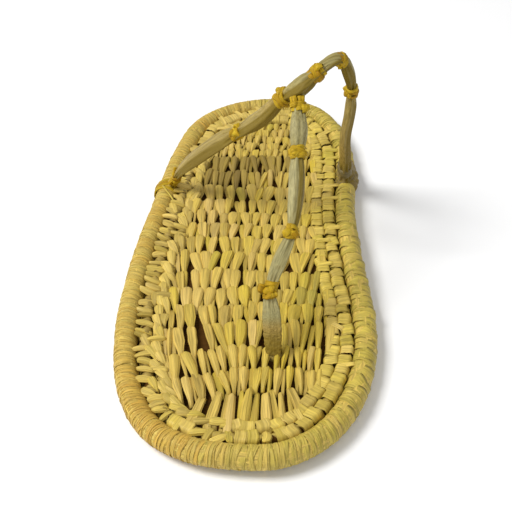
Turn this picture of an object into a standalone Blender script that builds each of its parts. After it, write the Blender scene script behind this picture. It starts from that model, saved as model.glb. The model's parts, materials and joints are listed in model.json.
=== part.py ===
"""Sewn palm-leaf thong sandal for the right foot, standing empty on its sole.

The sole is a field of leaf bundles sewn row by row, with an inner coil, a middle coil and a
thick wrapped rim laid round it. The straps are one back strap from rim to rim and a thong
that joins it over the instep, with small leaf ties bound round them.

Metres. The toe points to -Y and the heel to +Y, +X is the inner side of the foot, +Z is up.
The origin is on the floor, under the middle of the sole.
"""

import math
from collections import namedtuple

import bmesh
import bpy
import numpy as np

# Sole
LENGTH = 0.247
BALL_WIDTH = 0.1115
RIM_DIAMETER = 0.010
MIDDLE_COIL_WIDTH = 0.0054
MIDDLE_COIL_HEIGHT = 0.0082
INNER_COIL_WIDTH = 0.0052
INNER_COIL_HEIGHT = 0.0077
FIELD_HEIGHT = 0.0073
TOE_SPRING = 0.0022
ARCH_RISE = 0.0012
CLEARANCE = 0.0003

# Sewing of the sole
ROW_PITCH_HEEL = 0.0092
ROW_PITCH_TOE = 0.0127
TOE_ROW_LENGTH = 0.0180
ROW_TILT = math.radians(4.0)
STITCH_PITCH = 0.0047
STITCH_RELIEF = 0.0026
RIB_RELIEF = 0.0008
COIL_RELIEF = 0.0010
WRAP_RELIEF = 0.0004

# Straps
ARCH_HEIGHT = 0.0925
STRAP_WIDTH = 0.0086
STRAP_THICKNESS = 0.0058
THONG_WIDTH = 0.0083
THONG_THICKNESS = 0.0052
THONG_HOLE_ACROSS = 0.0139
EYE_WIDTH = 0.0090
EYE_WALL = 0.0012
EYE_BULGE = 0.0011
EYE_SHOULDER = 0.0012
KNOT_LENGTH = 0.0120
KNOT_WIDTH = 0.0084
KNOT_THICKNESS = 0.0016
KNOT_RECESS = 0.0006
TIE_LENGTH = 0.0056
TIE_WALL = 0.0011

# Shares of LENGTH, measured along the sole from its middle towards the heel
TOE_SPRING_START = -0.33
ARCH_TOE_END = -0.15
ARCH_HEEL_END = 0.21
LATERAL_ANCHOR_ALONG = 0.149
MEDIAL_ANCHOR_ALONG = 0.220
THONG_HOLE_ALONG = -0.268

# How finely the shapes are faceted
SOLE_STATIONS = 136
RIM_SIDES = 8
EYE_SIDES = 12
STRAP_SIDES = 8
STRAP_STEP = 0.0075
SPAN_SAMPLES = 24
TIE_PINCH = 0.88

RIM_RADIUS = RIM_DIAMETER / 2
MIDDLE_COIL_INSET = RIM_DIAMETER + CLEARANCE
INNER_COIL_INSET = MIDDLE_COIL_INSET + MIDDLE_COIL_WIDTH + CLEARANCE
FIELD_INSET = INNER_COIL_INSET + INNER_COIL_WIDTH + CLEARANCE

UP = np.array([0.0, 0.0, 1.0])
ACROSS = np.array([1.0, 0.0, 0.0])
ALONG = np.array([0.0, 1.0, 0.0])

# Outline of the sole, anticlockwise from the toe: shares of BALL_WIDTH and LENGTH
OutlinePoint = namedtuple("OutlinePoint", "across along")
OUTLINE = [
    OutlinePoint(0.030, -0.500),
    OutlinePoint(0.207, -0.488),
    OutlinePoint(0.356, -0.438),
    OutlinePoint(0.460, -0.353),
    OutlinePoint(0.500, -0.240),
    OutlinePoint(0.478, -0.130),
    OutlinePoint(0.430, -0.020),
    OutlinePoint(0.386, 0.110),
    OutlinePoint(0.372, 0.240),
    OutlinePoint(0.322, 0.375),
    OutlinePoint(0.180, 0.475),
    OutlinePoint(-0.030, 0.500),
    OutlinePoint(-0.250, 0.469),
    OutlinePoint(-0.405, 0.395),
    OutlinePoint(-0.468, 0.270),
    OutlinePoint(-0.486, 0.090),
    OutlinePoint(-0.500, -0.090),
    OutlinePoint(-0.480, -0.235),
    OutlinePoint(-0.410, -0.365),
    OutlinePoint(-0.285, -0.454),
    OutlinePoint(-0.130, -0.492),
]

# One sewing stitch of the field, from its head at the heel side to its tail:
# place in the row, then how far its middle and the place beside it lie below
# the top, as shares of STITCH_RELIEF
StitchLine = namedtuple("StitchLine", "place middle_drop beside_drop")
STITCH_FORM = [
    StitchLine(0.10, 0.12, 0.30),
    StitchLine(0.48, 0.00, 0.25),
    StitchLine(0.86, 0.36, 1.00),
]

# Rib under one row: place in the row and height as a share of RIB_RELIEF
RibLine = namedtuple("RibLine", "place rise")
RIB_FORM = [RibLine(0.0, 1.0), RibLine(0.2, 0.0), RibLine(0.8, 0.0)]

# Sections of the straps: shares of BALL_WIDTH, LENGTH and ARCH_HEIGHT, then of the
# strap's own width and thickness
StrapRow = namedtuple("StrapRow", "across along up width thickness")
BACK_STRAP_ROWS = [
    StrapRow(-0.367, 0.138, 0.226, 1.00, 0.90),
    StrapRow(-0.221, 0.119, 0.425, 1.02, 0.92),
    StrapRow(-0.105, 0.102, 0.554, 0.98, 0.95),
    StrapRow(-0.013, 0.086, 0.667, 0.86, 1.00),
    StrapRow(0.075, 0.070, 0.811, 0.92, 1.10),
    StrapRow(0.134, 0.063, 0.881, 1.00, 1.15),
    StrapRow(0.194, 0.068, 0.950, 0.88, 1.05),
    StrapRow(0.234, 0.079, 0.987, 0.76, 0.98),
    StrapRow(0.278, 0.093, 0.997, 0.76, 0.98),
    StrapRow(0.313, 0.112, 0.905, 0.76, 0.95),
    StrapRow(0.331, 0.132, 0.774, 0.68, 0.92),
    StrapRow(0.327, 0.152, 0.608, 0.68, 0.90),
    StrapRow(0.317, 0.173, 0.442, 0.72, 0.90),
    StrapRow(0.322, 0.197, 0.259, 0.80, 0.90),
]
THONG_ROWS = [
    StrapRow(0.117, -0.254, 0.188, 0.98, 1.00),
    StrapRow(0.106, -0.233, 0.256, 0.92, 1.05),
    StrapRow(0.097, -0.212, 0.316, 0.80, 1.05),
    StrapRow(0.120, -0.172, 0.384, 0.84, 1.00),
    StrapRow(0.154, -0.133, 0.470, 0.76, 1.00),
    StrapRow(0.163, -0.089, 0.590, 0.80, 1.00),
    StrapRow(0.153, -0.031, 0.707, 0.96, 1.05),
    StrapRow(0.146, 0.014, 0.797, 0.92, 1.05),
    StrapRow(0.133, 0.058, 0.873, 0.80, 0.96),
]
STRAP_END = StrapRow(0.0, 0.0, 0.0, 0.92, 0.80)

# Ties round the straps: place along the strap's own length, length and wall as
# shares of TIE_LENGTH and TIE_WALL
Tie = namedtuple("Tie", "name place length wall")
BACK_STRAP_TIES = [
    Tie("tie_lateral_anchor", 0.030, 1.00, 1.00),
    Tie("tie_lateral_arm", 0.268, 0.90, 0.90),
    Tie("tie_junction_lateral", 0.424, 1.00, 1.10),
    Tie("tie_junction_medial", 0.516, 1.00, 1.15),
    Tie("tie_crown", 0.578, 0.70, 0.80),
    Tie("tie_medial_arm", 0.687, 0.95, 1.10),
    Tie("tie_medial_anchor", 0.965, 1.00, 0.90),
]
THONG_TIES = [
    Tie("tie_thong_low", 0.236, 1.10, 1.00),
    Tie("tie_thong_middle", 0.461, 1.00, 1.00),
    Tie("tie_thong_upper", 0.759, 0.95, 0.90),
    Tie("tie_thong_top", 0.936, 0.65, 1.00),
]

# Surface colours, linear
FIELD_COLOUR = (0.56, 0.43, 0.13, 1.0)
COIL_COLOUR = (0.60, 0.48, 0.19, 1.0)
RIM_COLOUR = (0.58, 0.42, 0.10, 1.0)
STRAP_COLOUR = (0.27, 0.24, 0.13, 1.0)
TIE_COLOUR = (0.62, 0.38, 0.03, 1.0)
LEAF_ROUGHNESS = 0.62


def smooth_step(value):
    """Ease from 0 to 1 as value goes from 0 to 1."""
    value = np.clip(value, 0.0, 1.0)
    return value * value * (3 - 2 * value)


def lift(along):
    """Height of the sole's underside over the floor: flat at heel and ball of the foot."""
    share = np.asarray(along) / LENGTH
    toe = np.clip((TOE_SPRING_START - share) / (0.5 + TOE_SPRING_START), 0.0, 1.0)
    middle = (ARCH_TOE_END + ARCH_HEEL_END) / 2
    half = (ARCH_HEEL_END - ARCH_TOE_END) / 2
    arch = smooth_step(1 - np.abs(share - middle) / half)
    return TOE_SPRING * toe ** 2 + ARCH_RISE * arch


def smooth_curve(points, before, after):
    """Dense points of a smooth curve through points, led in and out by two more."""
    path = np.vstack([before, points, after])
    samples = []
    for i in range(1, len(path) - 2):
        lead, start, end, follow = path[i - 1], path[i], path[i + 1], path[i + 2]
        gap_in = math.sqrt(np.linalg.norm((start - lead)[:3]))
        gap = math.sqrt(np.linalg.norm((end - start)[:3]))
        gap_out = math.sqrt(np.linalg.norm((follow - end)[:3]))
        leave = (start - lead) / gap_in - (end - lead) / (gap_in + gap) + (end - start) / gap
        arrive = (end - start) / gap - (follow - start) / (gap + gap_out) + (follow - end) / gap_out
        for step in range(SPAN_SAMPLES):
            t = step / SPAN_SAMPLES
            samples.append(
                (2 * t**3 - 3 * t**2 + 1) * start
                + (t**3 - 2 * t**2 + t) * leave * gap
                + (3 * t**2 - 2 * t**3) * end
                + (t**3 - t**2) * arrive * gap
            )
    samples.append(path[-2])
    return np.array(samples)


class Curve:
    """A smooth curve read by its own length."""

    def __init__(self, samples):
        self.samples = samples
        steps = np.linalg.norm(np.diff(samples[:, :3], axis=0), axis=1)
        self.lengths = np.concatenate([[0.0], np.cumsum(steps)])
        self.length = self.lengths[-1]

    def at(self, distance):
        """All columns of the curve at a distance from its start."""
        columns = self.samples.T
        return np.array([np.interp(distance, self.lengths, column) for column in columns])

    def direction(self, distance):
        """Unit direction of the curve at a distance from its start."""
        reach = self.length / len(self.samples)
        first = max(distance - reach, 0.0)
        last = min(distance + reach, self.length)
        way = self.at(last)[:3] - self.at(first)[:3]
        return way / np.linalg.norm(way)


class SoleOutline:
    """The closed outline of the sole, and lines inside it."""

    def __init__(self):
        size = np.array([BALL_WIDTH, LENGTH, 0.0])
        corners = np.array([(row.across, row.along, 0.0) for row in OUTLINE]) * size
        closed = np.vstack([corners, corners[:1]])
        self.curve = Curve(smooth_curve(closed, corners[-1], corners[1]))

    def frame(self, distance):
        """Point of the outline, its direction and the way inwards."""
        reach = self.curve.length / SOLE_STATIONS / 2
        back = self.curve.at((distance - reach) % self.curve.length)[:3]
        ahead = self.curve.at((distance + reach) % self.curve.length)[:3]
        forward = (ahead - back) / np.linalg.norm(ahead - back)
        return self.curve.at(distance % self.curve.length)[:3], forward, np.cross(UP, forward)

    def inside(self, distance, inset, height):
        """Point inset from the outline, at a height over the sole's underside."""
        point, _, inwards = self.frame(distance)
        place = point + inwards * inset
        place[2] = height + lift(place[1])
        return place

    def stations(self):
        """Distances of the even stations round the outline."""
        return [self.curve.length * i / SOLE_STATIONS for i in range(SOLE_STATIONS)]

    def nearest(self, side, along):
        """Distance at which the outline passes a share of the length on one side."""
        on_side = np.where(self.curve.samples[:, 0] * side > 0)[0]
        offsets = np.abs(self.curve.samples[on_side, 1] - along * LENGTH)
        return self.curve.lengths[on_side[np.argmin(offsets)]]


def finish(name, colour):
    """A plain leaf material."""
    material = bpy.data.materials.new(name)
    material.use_nodes = True
    shader = material.node_tree.nodes["Principled BSDF"]
    shader.inputs["Base Color"].default_value = colour
    shader.inputs["Roughness"].default_value = LEAF_ROUGHNESS
    shader.inputs["Metallic"].default_value = 0.0
    return material


def add_object(name, mesh_builder, material=None):
    """Close a bmesh into a named object; one without a material is a guide."""
    bmesh.ops.recalc_face_normals(mesh_builder, faces=mesh_builder.faces)
    bmesh.ops.triangulate(mesh_builder, faces=mesh_builder.faces)
    mesh = bpy.data.meshes.new(name)
    mesh_builder.to_mesh(mesh)
    mesh_builder.free()
    piece = bpy.data.objects.new(name, mesh)
    bpy.context.collection.objects.link(piece)
    if material is None:
        piece.hide_render = True
        piece.display_type = "WIRE"
    else:
        mesh.materials.append(material)
    return piece


def combine(piece, other, operation):
    """Join, cut or trim a piece with a guide."""
    modifier = piece.modifiers.new(f"{operation.lower()}_{other.name}", "BOOLEAN")
    modifier.operation = operation
    modifier.solver = "EXACT"
    modifier.object = other


def bridge(mesh_builder, rings, closed_way=False):
    """Skin rings of equal size, end to end, or round to the first ring again."""
    loops = [[mesh_builder.verts.new(point) for point in ring] for ring in rings]
    pairs = list(zip(loops, loops[1:]))
    if closed_way:
        pairs.append((loops[-1], loops[0]))
    else:
        mesh_builder.faces.new(loops[0])
        mesh_builder.faces.new(loops[-1])
    for one, other in pairs:
        for i in range(len(one)):
            j = (i + 1) % len(one)
            mesh_builder.faces.new((one[i], one[j], other[j], other[i]))


def loft(name, rings, material=None, closed_way=False):
    """A solid skinned over rings."""
    mesh_builder = bmesh.new()
    bridge(mesh_builder, rings, closed_way)
    return add_object(name, mesh_builder, material)


def eye_inner_radius():
    """Corner radius of the hole in a strap eye."""
    return RIM_RADIUS - EYE_WALL


def pinched_radius():
    """Flat-to-centre radius of the rim where a strap eye holds it."""
    hole_flat = eye_inner_radius() * math.cos(math.pi / EYE_SIDES)
    return (hole_flat - CLEARANCE) * math.cos(math.pi / RIM_SIDES)


def rim_section(radius, pressed_radius):
    """Inset and height of the rim's corners; its two lowest are pressed flat."""
    corners = []
    for i in range(RIM_SIDES):
        angle = (i + 0.5) * 2 * math.pi / RIM_SIDES
        low = math.sin(angle) < -math.cos(math.pi / RIM_SIDES) + 0.01
        reach = (pressed_radius if low else radius) / math.cos(math.pi / RIM_SIDES)
        inset = RIM_RADIUS + reach * math.cos(angle)
        height = RIM_RADIUS + reach * math.sin(angle)
        corners.append((inset, height))
    return corners


def make_rim(outline, anchors, material):
    """The thick wrapped rim, pinched where the strap eyes go round it."""
    held = EYE_WIDTH / 2 + CLEARANCE
    free = held + EYE_SHOULDER
    sections = []
    for i, distance in enumerate(outline.stations()):
        if min(abs(distance - anchor) for anchor in anchors) > free + CLEARANCE:
            radius = RIM_RADIUS - WRAP_RELIEF * (i % 2)
            sections.append((distance, rim_section(radius, RIM_RADIUS)))
    for anchor in anchors:
        for side in (-1, 1):
            sections.append((anchor + side * held, rim_section(pinched_radius(), pinched_radius())))
            sections.append((anchor + side * free, rim_section(RIM_RADIUS, RIM_RADIUS)))
    sections.sort(key=lambda section: section[0])
    rings = []
    for distance, corners in sections:
        rings.append([outline.inside(distance, inset, height) for inset, height in corners])
    return loft("rim_coil", rings, material, closed_way=True)


def make_coil(name, outline, inset, width, height, material):
    """A sewn coil, five-sided, whose crest steps from side to side with the stitches."""
    rings = []
    for i, distance in enumerate(outline.stations()):
        crest_across, crest_height = (0.36, height) if i % 2 else (0.64, height - COIL_RELIEF)
        corners = [
            (0.15, 0.0),
            (0.85, 0.0),
            (1.0, 0.62 * height),
            (crest_across, crest_height),
            (0.0, 0.62 * height),
        ]
        rings.append([outline.inside(distance, inset + width * a, h) for a, h in corners])
    return loft(name, rings, material, closed_way=True)


def row_lines():
    """Places of the field's rows along the sole, heel to toe, one spare row at each end."""
    heel = LENGTH / 2 - FIELD_INSET
    toe_row = TOE_ROW_LENGTH - heel
    span = heel - toe_row
    count = round(2 * span / (ROW_PITCH_HEEL + ROW_PITCH_TOE))
    growth = (ROW_PITCH_TOE - ROW_PITCH_HEEL) / count
    reach = count * ROW_PITCH_HEEL + growth * count**2 / 2
    lines = [heel + ROW_PITCH_HEEL]
    for i in range(count + 1):
        lines.append(heel - span * (i * ROW_PITCH_HEEL + growth * i**2 / 2) / reach)
    lines.append(-heel)
    lines.append(-heel - ROW_PITCH_TOE)
    return lines


def make_field(outline, thong_cutter, material):
    """The sewn field: rows of raised stitches over flat ribs, trimmed to its outline."""
    half_pitch = STITCH_PITCH / 2
    columns = math.ceil(BALL_WIDTH / 2 / half_pitch)
    tilt = math.tan(ROW_TILT)
    mesh_builder = bmesh.new()

    def corner(across, along, height):
        place = along + across * tilt
        return mesh_builder.verts.new((across, place, height + lift(place)))

    top, under = [], []
    lines = row_lines()
    for row, (head, tail) in enumerate(zip(lines, lines[1:])):
        for line in STITCH_FORM:
            along = head + (tail - head) * line.place
            corners = []
            for column in range(-columns, columns + 1):
                drop = line.beside_drop if (column + row) % 2 else line.middle_drop
                height = FIELD_HEIGHT - drop * STITCH_RELIEF
                corners.append(corner(column * half_pitch, along, height))
            top.append(corners)
        for line in RIB_FORM:
            along = head + (tail - head) * line.place
            sides = [corner(side * columns * half_pitch, along, line.rise * RIB_RELIEF)
                     for side in (-1, 1)]
            under.append(sides)
    for one, other in zip(top, top[1:]):
        for i in range(len(one) - 1):
            mesh_builder.faces.new((one[i], one[i + 1], other[i + 1], other[i]))
    for one, other in zip(under, under[1:]):
        mesh_builder.faces.new((one[0], one[1], other[1], other[0]))
    mesh_builder.faces.new(top[0] + under[0][::-1])
    mesh_builder.faces.new(top[-1] + under[-1][::-1])
    for top_index, under_index in ((0, 0), (-1, 1)):
        edge = [corners[top_index] for corners in top]
        lower = [sides[under_index] for sides in under]
        mesh_builder.faces.new(edge + lower[::-1])
    field = add_object("sole_field", mesh_builder, material)

    rings = []
    for height in (-RIM_DIAMETER, 2 * RIM_DIAMETER):
        ring = []
        for distance in outline.stations():
            place = outline.inside(distance, FIELD_INSET, 0.0)
            ring.append((place[0], place[1], height))
        rings.append(ring)
    combine(field, loft("field_outline", rings), "INTERSECT")
    combine(field, thong_cutter, "DIFFERENCE")
    return field


def strap_section(centre, width_way, thick_way, width, thickness):
    """Corners of a strap section with flat sides."""
    corners = []
    for i in range(STRAP_SIDES):
        angle = (i + 0.5) * 2 * math.pi / STRAP_SIDES
        across = math.cos(angle) / math.cos(math.pi / STRAP_SIDES) * width / 2
        through = math.sin(angle) / math.cos(math.pi / STRAP_SIDES) * thickness / 2
        corners.append(centre + width_way * across + thick_way * through)
    return corners


class Strap:
    """A strap on a smooth path, with its ties' places."""

    def __init__(self, rows, before, after, width_way, ties):
        self.curve = Curve(smooth_curve(rows, before, after))
        self.width_way = width_way
        self.ties = ties

    def tie_stations(self, tie):
        """Start, middle and end of a tie on the path."""
        middle = tie.place * self.curve.length
        half = tie.length * TIE_LENGTH / 2
        return [middle - half, middle, middle + half]

    def stations(self):
        """Distances of the strap's sections: the ties' own, and even steps between."""
        marks = [0.0]
        for tie in self.ties:
            marks.extend(self.tie_stations(tie))
        marks.append(self.curve.length)
        distances = [0.0]
        for start, end in zip(marks, marks[1:]):
            steps = max(1, round((end - start) / STRAP_STEP))
            distances.extend(start + (end - start) * (i + 1) / steps for i in range(steps))
        return distances

    def pinch(self, distance):
        """Share of its free size that the strap keeps at a distance, tight under a tie."""
        for tie in self.ties:
            first, _, last = self.tie_stations(tie)
            if first - CLEARANCE < distance < last + CLEARANCE:
                return TIE_PINCH
        return 1.0

    def ring(self, distance, grow=0.0):
        """Corners of the strap's section, grown all round."""
        *centre, width, thickness = self.curve.at(distance)
        forward = self.curve.direction(distance)
        width_way = self.width_way - forward * np.dot(self.width_way, forward)
        width_way = width_way / np.linalg.norm(width_way)
        thick_way = np.cross(forward, width_way)
        keep = self.pinch(distance)
        return strap_section(np.array(centre), width_way, thick_way,
                             width * keep + 2 * grow, thickness * keep + 2 * grow)

    def make_tie(self, tie, material):
        """A leaf tie: a short sleeve round the strap, fuller in its middle."""
        wall = tie.wall * TIE_WALL
        stations = self.tie_stations(tie)
        outer = [self.ring(distance, CLEARANCE + wall * swell)
                 for distance, swell in zip(stations, (0.6, 1.0, 0.6))]
        inner = [self.ring(distance, CLEARANCE) for distance in reversed(stations)]
        return loft(tie.name, outer + inner, material, closed_way=True)


def strap_rows(rows, width, thickness):
    """A strap table in metres."""
    size = np.array([BALL_WIDTH, LENGTH, ARCH_HEIGHT, width, thickness])
    return [np.array(row) * size for row in rows]


def rim_centre(outline, distance):
    """Centre of the rim at a distance round the outline."""
    return outline.inside(distance, RIM_RADIUS, RIM_RADIUS)


def make_eye(name, outline, anchor):
    """The part of a strap that goes round the rim: a short ring, fuller above and outside."""
    _, forward, inwards = outline.frame(anchor)
    centre = rim_centre(outline, anchor)
    inner, outer = [], []
    for i in range(EYE_SIDES):
        angle = (i + 0.5) * 2 * math.pi / EYE_SIDES
        way = inwards * math.cos(angle) + UP * math.sin(angle)
        full = EYE_BULGE * smooth_step(math.cos(angle - math.radians(125)))
        inner.append((way, eye_inner_radius()))
        outer.append((way, RIM_RADIUS + full))
    rings = []
    for corners, side in ((outer, -1), (outer, 1), (inner, 1), (inner, -1)):
        shift = centre + forward * side * EYE_WIDTH / 2
        rings.append([shift + way * radius for way, radius in corners])
    return loft(name, rings, closed_way=True)


def back_strap(outline, anchors):
    """The strap from the outer rim over the instep to the inner rim."""
    rows = strap_rows(BACK_STRAP_ROWS, STRAP_WIDTH, STRAP_THICKNESS)
    end = strap_rows([STRAP_END], STRAP_WIDTH, STRAP_THICKNESS)[0]
    seat = (eye_inner_radius() + RIM_RADIUS) / 2
    ends, guides = [], []
    for anchor, neighbour in zip(anchors, (rows[0], rows[-1])):
        centre = rim_centre(outline, anchor)
        _, forward, _ = outline.frame(anchor)
        way = neighbour[:3] - centre
        way = way - forward * np.dot(way, forward)
        way = way / np.linalg.norm(way)
        ends.append(np.concatenate([centre + way * seat, end[3:]]))
        guides.append(np.concatenate([centre - way * RIM_RADIUS, end[3:]]))
    path = [ends[0], *rows, ends[1]]
    return Strap(path, guides[0], guides[1], ALONG, BACK_STRAP_TIES)


def thong_hole():
    """Where the thong goes through the sole."""
    return np.array([THONG_HOLE_ACROSS, THONG_HOLE_ALONG * LENGTH, 0.0])


def thong_strap():
    """The thong above the sole, up into the back strap."""
    rows = strap_rows(THONG_ROWS, THONG_WIDTH, THONG_THICKNESS)
    foot = thong_hole() + UP * thong_foot_height()
    size = [THONG_WIDTH, THONG_THICKNESS]
    path = [np.concatenate([foot, size]), *rows]
    below = np.concatenate([foot - UP * FIELD_HEIGHT, size])
    return Strap(path, below, 2 * rows[-1] - rows[-2], ACROSS, THONG_TIES)


def thong_foot_height():
    """Height up to which the thong stands straight in its hole."""
    return FIELD_HEIGHT + lift(THONG_HOLE_ALONG * LENGTH) + CLEARANCE


def thong_foot(grow, bottom, top):
    """Sections of the thong in the sole: its flat knot under it, then the straight strap."""
    knot_top = KNOT_RECESS + KNOT_THICKNESS + grow
    rings = []
    for height, width, thickness in (
        (bottom, KNOT_LENGTH, KNOT_WIDTH),
        (knot_top, KNOT_LENGTH, KNOT_WIDTH),
        (knot_top, THONG_WIDTH, THONG_THICKNESS),
        (top, THONG_WIDTH, THONG_THICKNESS),
    ):
        centre = thong_hole() + UP * height
        rings.append(strap_section(centre, ACROSS, ALONG, width + 2 * grow, thickness + 2 * grow))
    return rings


def make_straps(outline, anchors, material):
    """The upper: the back strap, its eyes round the rim and the thong, joined in one."""
    back = back_strap(outline, anchors)
    straps = loft("straps", [back.ring(distance) for distance in back.stations()], material)
    for name, anchor in zip(("lateral_eye", "medial_eye"), anchors):
        combine(straps, make_eye(name, outline, anchor), "UNION")
    thong = thong_strap()
    foot = thong_foot(0.0, KNOT_RECESS, thong_foot_height())
    upward = [thong.ring(distance) for distance in thong.stations()[1:]]
    combine(straps, loft("thong", foot + upward), "UNION")
    return back, thong


def make_sandal():
    """Build every piece of the sandal."""
    outline = SoleOutline()
    anchors = (
        outline.nearest(-1, LATERAL_ANCHOR_ALONG),
        outline.nearest(1, MEDIAL_ANCHOR_ALONG),
    )
    field_finish = finish("field_leaf", FIELD_COLOUR)
    coil_finish = finish("coil_leaf", COIL_COLOUR)
    rim_finish = finish("rim_leaf", RIM_COLOUR)
    strap_finish = finish("strap_leaf", STRAP_COLOUR)
    tie_finish = finish("tie_leaf", TIE_COLOUR)

    cutter_rings = thong_foot(CLEARANCE, -RIM_DIAMETER, 2 * RIM_DIAMETER)
    make_field(outline, loft("thong_cutter", cutter_rings), field_finish)
    make_coil("inner_coil", outline, INNER_COIL_INSET, INNER_COIL_WIDTH,
              INNER_COIL_HEIGHT, coil_finish)
    make_coil("middle_coil", outline, MIDDLE_COIL_INSET, MIDDLE_COIL_WIDTH,
              MIDDLE_COIL_HEIGHT, coil_finish)
    make_rim(outline, anchors, rim_finish)
    for strap in make_straps(outline, anchors, strap_finish):
        for tie in strap.ties:
            strap.make_tie(tie, tie_finish)


def clear_scene():
    """Remove what the file opened with."""
    for piece in list(bpy.data.objects):
        bpy.data.objects.remove(piece, do_unlink=True)


clear_scene()
make_sandal()
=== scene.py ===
"""Looks of the sewn palm-leaf thong sandal: every solid of the frame is dressed in leaf strips."""

import json
import logging
import math
from collections.abc import Iterator
from dataclasses import dataclass, field
from enum import Enum

import bmesh
import bpy
import numpy as np
from mathutils import Matrix, Vector

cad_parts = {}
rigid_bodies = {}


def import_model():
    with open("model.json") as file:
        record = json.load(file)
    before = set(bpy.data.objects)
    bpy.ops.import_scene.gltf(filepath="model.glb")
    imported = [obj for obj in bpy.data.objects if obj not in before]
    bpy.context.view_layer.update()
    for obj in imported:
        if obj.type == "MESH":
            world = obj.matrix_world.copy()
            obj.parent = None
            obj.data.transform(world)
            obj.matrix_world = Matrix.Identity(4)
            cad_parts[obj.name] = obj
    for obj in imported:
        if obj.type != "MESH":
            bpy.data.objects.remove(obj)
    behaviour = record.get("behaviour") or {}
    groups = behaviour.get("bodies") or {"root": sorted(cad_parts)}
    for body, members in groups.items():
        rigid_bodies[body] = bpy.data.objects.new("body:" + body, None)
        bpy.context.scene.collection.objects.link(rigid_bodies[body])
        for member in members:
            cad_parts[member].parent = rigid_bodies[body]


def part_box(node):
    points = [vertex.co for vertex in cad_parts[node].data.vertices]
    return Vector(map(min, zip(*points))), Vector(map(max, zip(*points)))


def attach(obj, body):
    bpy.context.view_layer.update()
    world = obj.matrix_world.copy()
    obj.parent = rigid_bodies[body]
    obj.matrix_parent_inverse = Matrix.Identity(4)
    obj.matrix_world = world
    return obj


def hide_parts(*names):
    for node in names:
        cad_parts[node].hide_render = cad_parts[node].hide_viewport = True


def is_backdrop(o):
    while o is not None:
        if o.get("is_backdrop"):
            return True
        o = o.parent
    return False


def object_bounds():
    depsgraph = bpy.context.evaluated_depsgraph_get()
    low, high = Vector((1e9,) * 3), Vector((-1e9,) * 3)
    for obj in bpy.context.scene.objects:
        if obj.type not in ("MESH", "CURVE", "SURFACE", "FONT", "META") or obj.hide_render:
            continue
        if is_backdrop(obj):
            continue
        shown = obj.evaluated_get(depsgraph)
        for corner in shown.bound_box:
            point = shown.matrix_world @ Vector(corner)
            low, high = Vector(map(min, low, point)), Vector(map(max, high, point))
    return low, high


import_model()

LOG = logging.getLogger("sandal")
MM = 0.001
UP = np.array([0.0, 0.0, 1.0])
ACROSS = np.array([1.0, 0.0, 0.0])
ALONG = np.array([0.0, 1.0, 0.0])
UV_NAME = "leaf"
SPAN_SAMPLES = 721
LINE_SAMPLES = 1441
CORE_SECTIONS = 260
CORE_SIDES = 12
CAD_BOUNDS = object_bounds()


class Side(Enum):
    """The upper and the lower face of the sole or of a strap."""

    TOP = 1
    UNDER = -1


@dataclass(frozen=True)
class SoleSizes:
    """Sizes of the sole that the solids are built from, in metres and shares of its length."""

    low: Vector = field(default_factory=lambda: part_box("rim_coil")[0])
    high: Vector = field(default_factory=lambda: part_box("rim_coil")[1])
    rim_diameter: float = 0.010
    middle_width: float = 0.0054
    middle_height: float = 0.0082
    inner_width: float = 0.0052
    inner_height: float = 0.0077
    field_height: float = 0.0073
    toe_spring: float = 0.0022
    toe_from: float = -0.33
    toe_reach: float = 0.17
    arch_rise: float = 0.0012
    arch_middle: float = 0.03
    arch_reach: float = 0.18
    clearance: float = 0.0003
    row_tilt: float = math.radians(4.0)
    stitch_pitch: float = 0.0047

    @property
    def width(self) -> float:
        """Width at the ball of the foot."""
        return self.high.x - self.low.x

    @property
    def length(self) -> float:
        """Length, heel to toe."""
        return self.high.y - self.low.y

    @property
    def rim_radius(self) -> float:
        """Radius of the rim."""
        return self.rim_diameter / 2

    @property
    def middle_inset(self) -> float:
        """Way in from the outline to the middle coil."""
        return self.rim_diameter + self.clearance

    @property
    def inner_inset(self) -> float:
        """Way in from the outline to the inner coil."""
        return self.middle_inset + self.middle_width + self.clearance

    @property
    def field_inset(self) -> float:
        """Way in from the outline to the field."""
        return self.inner_inset + self.inner_width + self.clearance


SIZES = SoleSizes()

# Outline of the sole, anticlockwise from the toe: shares of its width and length
OUTLINE = [
    (0.030, -0.500), (0.207, -0.488), (0.356, -0.438), (0.460, -0.353), (0.500, -0.240),
    (0.478, -0.130), (0.430, -0.020), (0.386, 0.110), (0.372, 0.240), (0.322, 0.375),
    (0.180, 0.475), (-0.030, 0.500), (-0.250, 0.469), (-0.405, 0.395), (-0.468, 0.270),
    (-0.486, 0.090), (-0.500, -0.090), (-0.480, -0.235), (-0.410, -0.365), (-0.285, -0.454),
    (-0.130, -0.492),
]


# Sewing rows, heel to toe: place as a share of the length, and tilt of the outer half in degrees
SEWING_ROWS = [
    (0.446, 2.0), (0.428, 2.0), (0.406, 3.0), (0.382, 3.0), (0.358, 4.0), (0.334, 4.0),
    (0.309, 4.0), (0.285, 4.0), (0.236, 4.0), (0.184, 4.0), (0.137, 4.0), (0.096, 4.0),
    (0.060, 4.0), (0.022, 4.0), (-0.018, 4.0), (-0.065, 6.0), (-0.110, 7.0), (-0.149, 11.0),
    (-0.191, 16.0), (-0.250, 16.0), (-0.298, 20.0), (-0.345, 20.0), (-0.434, 16.0),
]


def smooth_step(value: np.ndarray) -> np.ndarray:
    """Ease from 0 to 1 as value goes from 0 to 1."""
    value = np.clip(value, 0.0, 1.0)
    return value * value * (3 - 2 * value)


def near(value: float, middle: float, reach: float) -> float:
    """A soft bump of 1 round a middle."""
    return math.exp(-((value - middle) / reach) ** 2)


def unit(way: np.ndarray) -> np.ndarray:
    """A direction, or rows of them, brought to length 1."""
    return way / np.linalg.norm(way, axis=-1, keepdims=True)


def round_angles(count: int) -> np.ndarray:
    """Evenly spaced angles once round a section."""
    return np.arange(count) * 2 * math.pi / count


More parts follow.
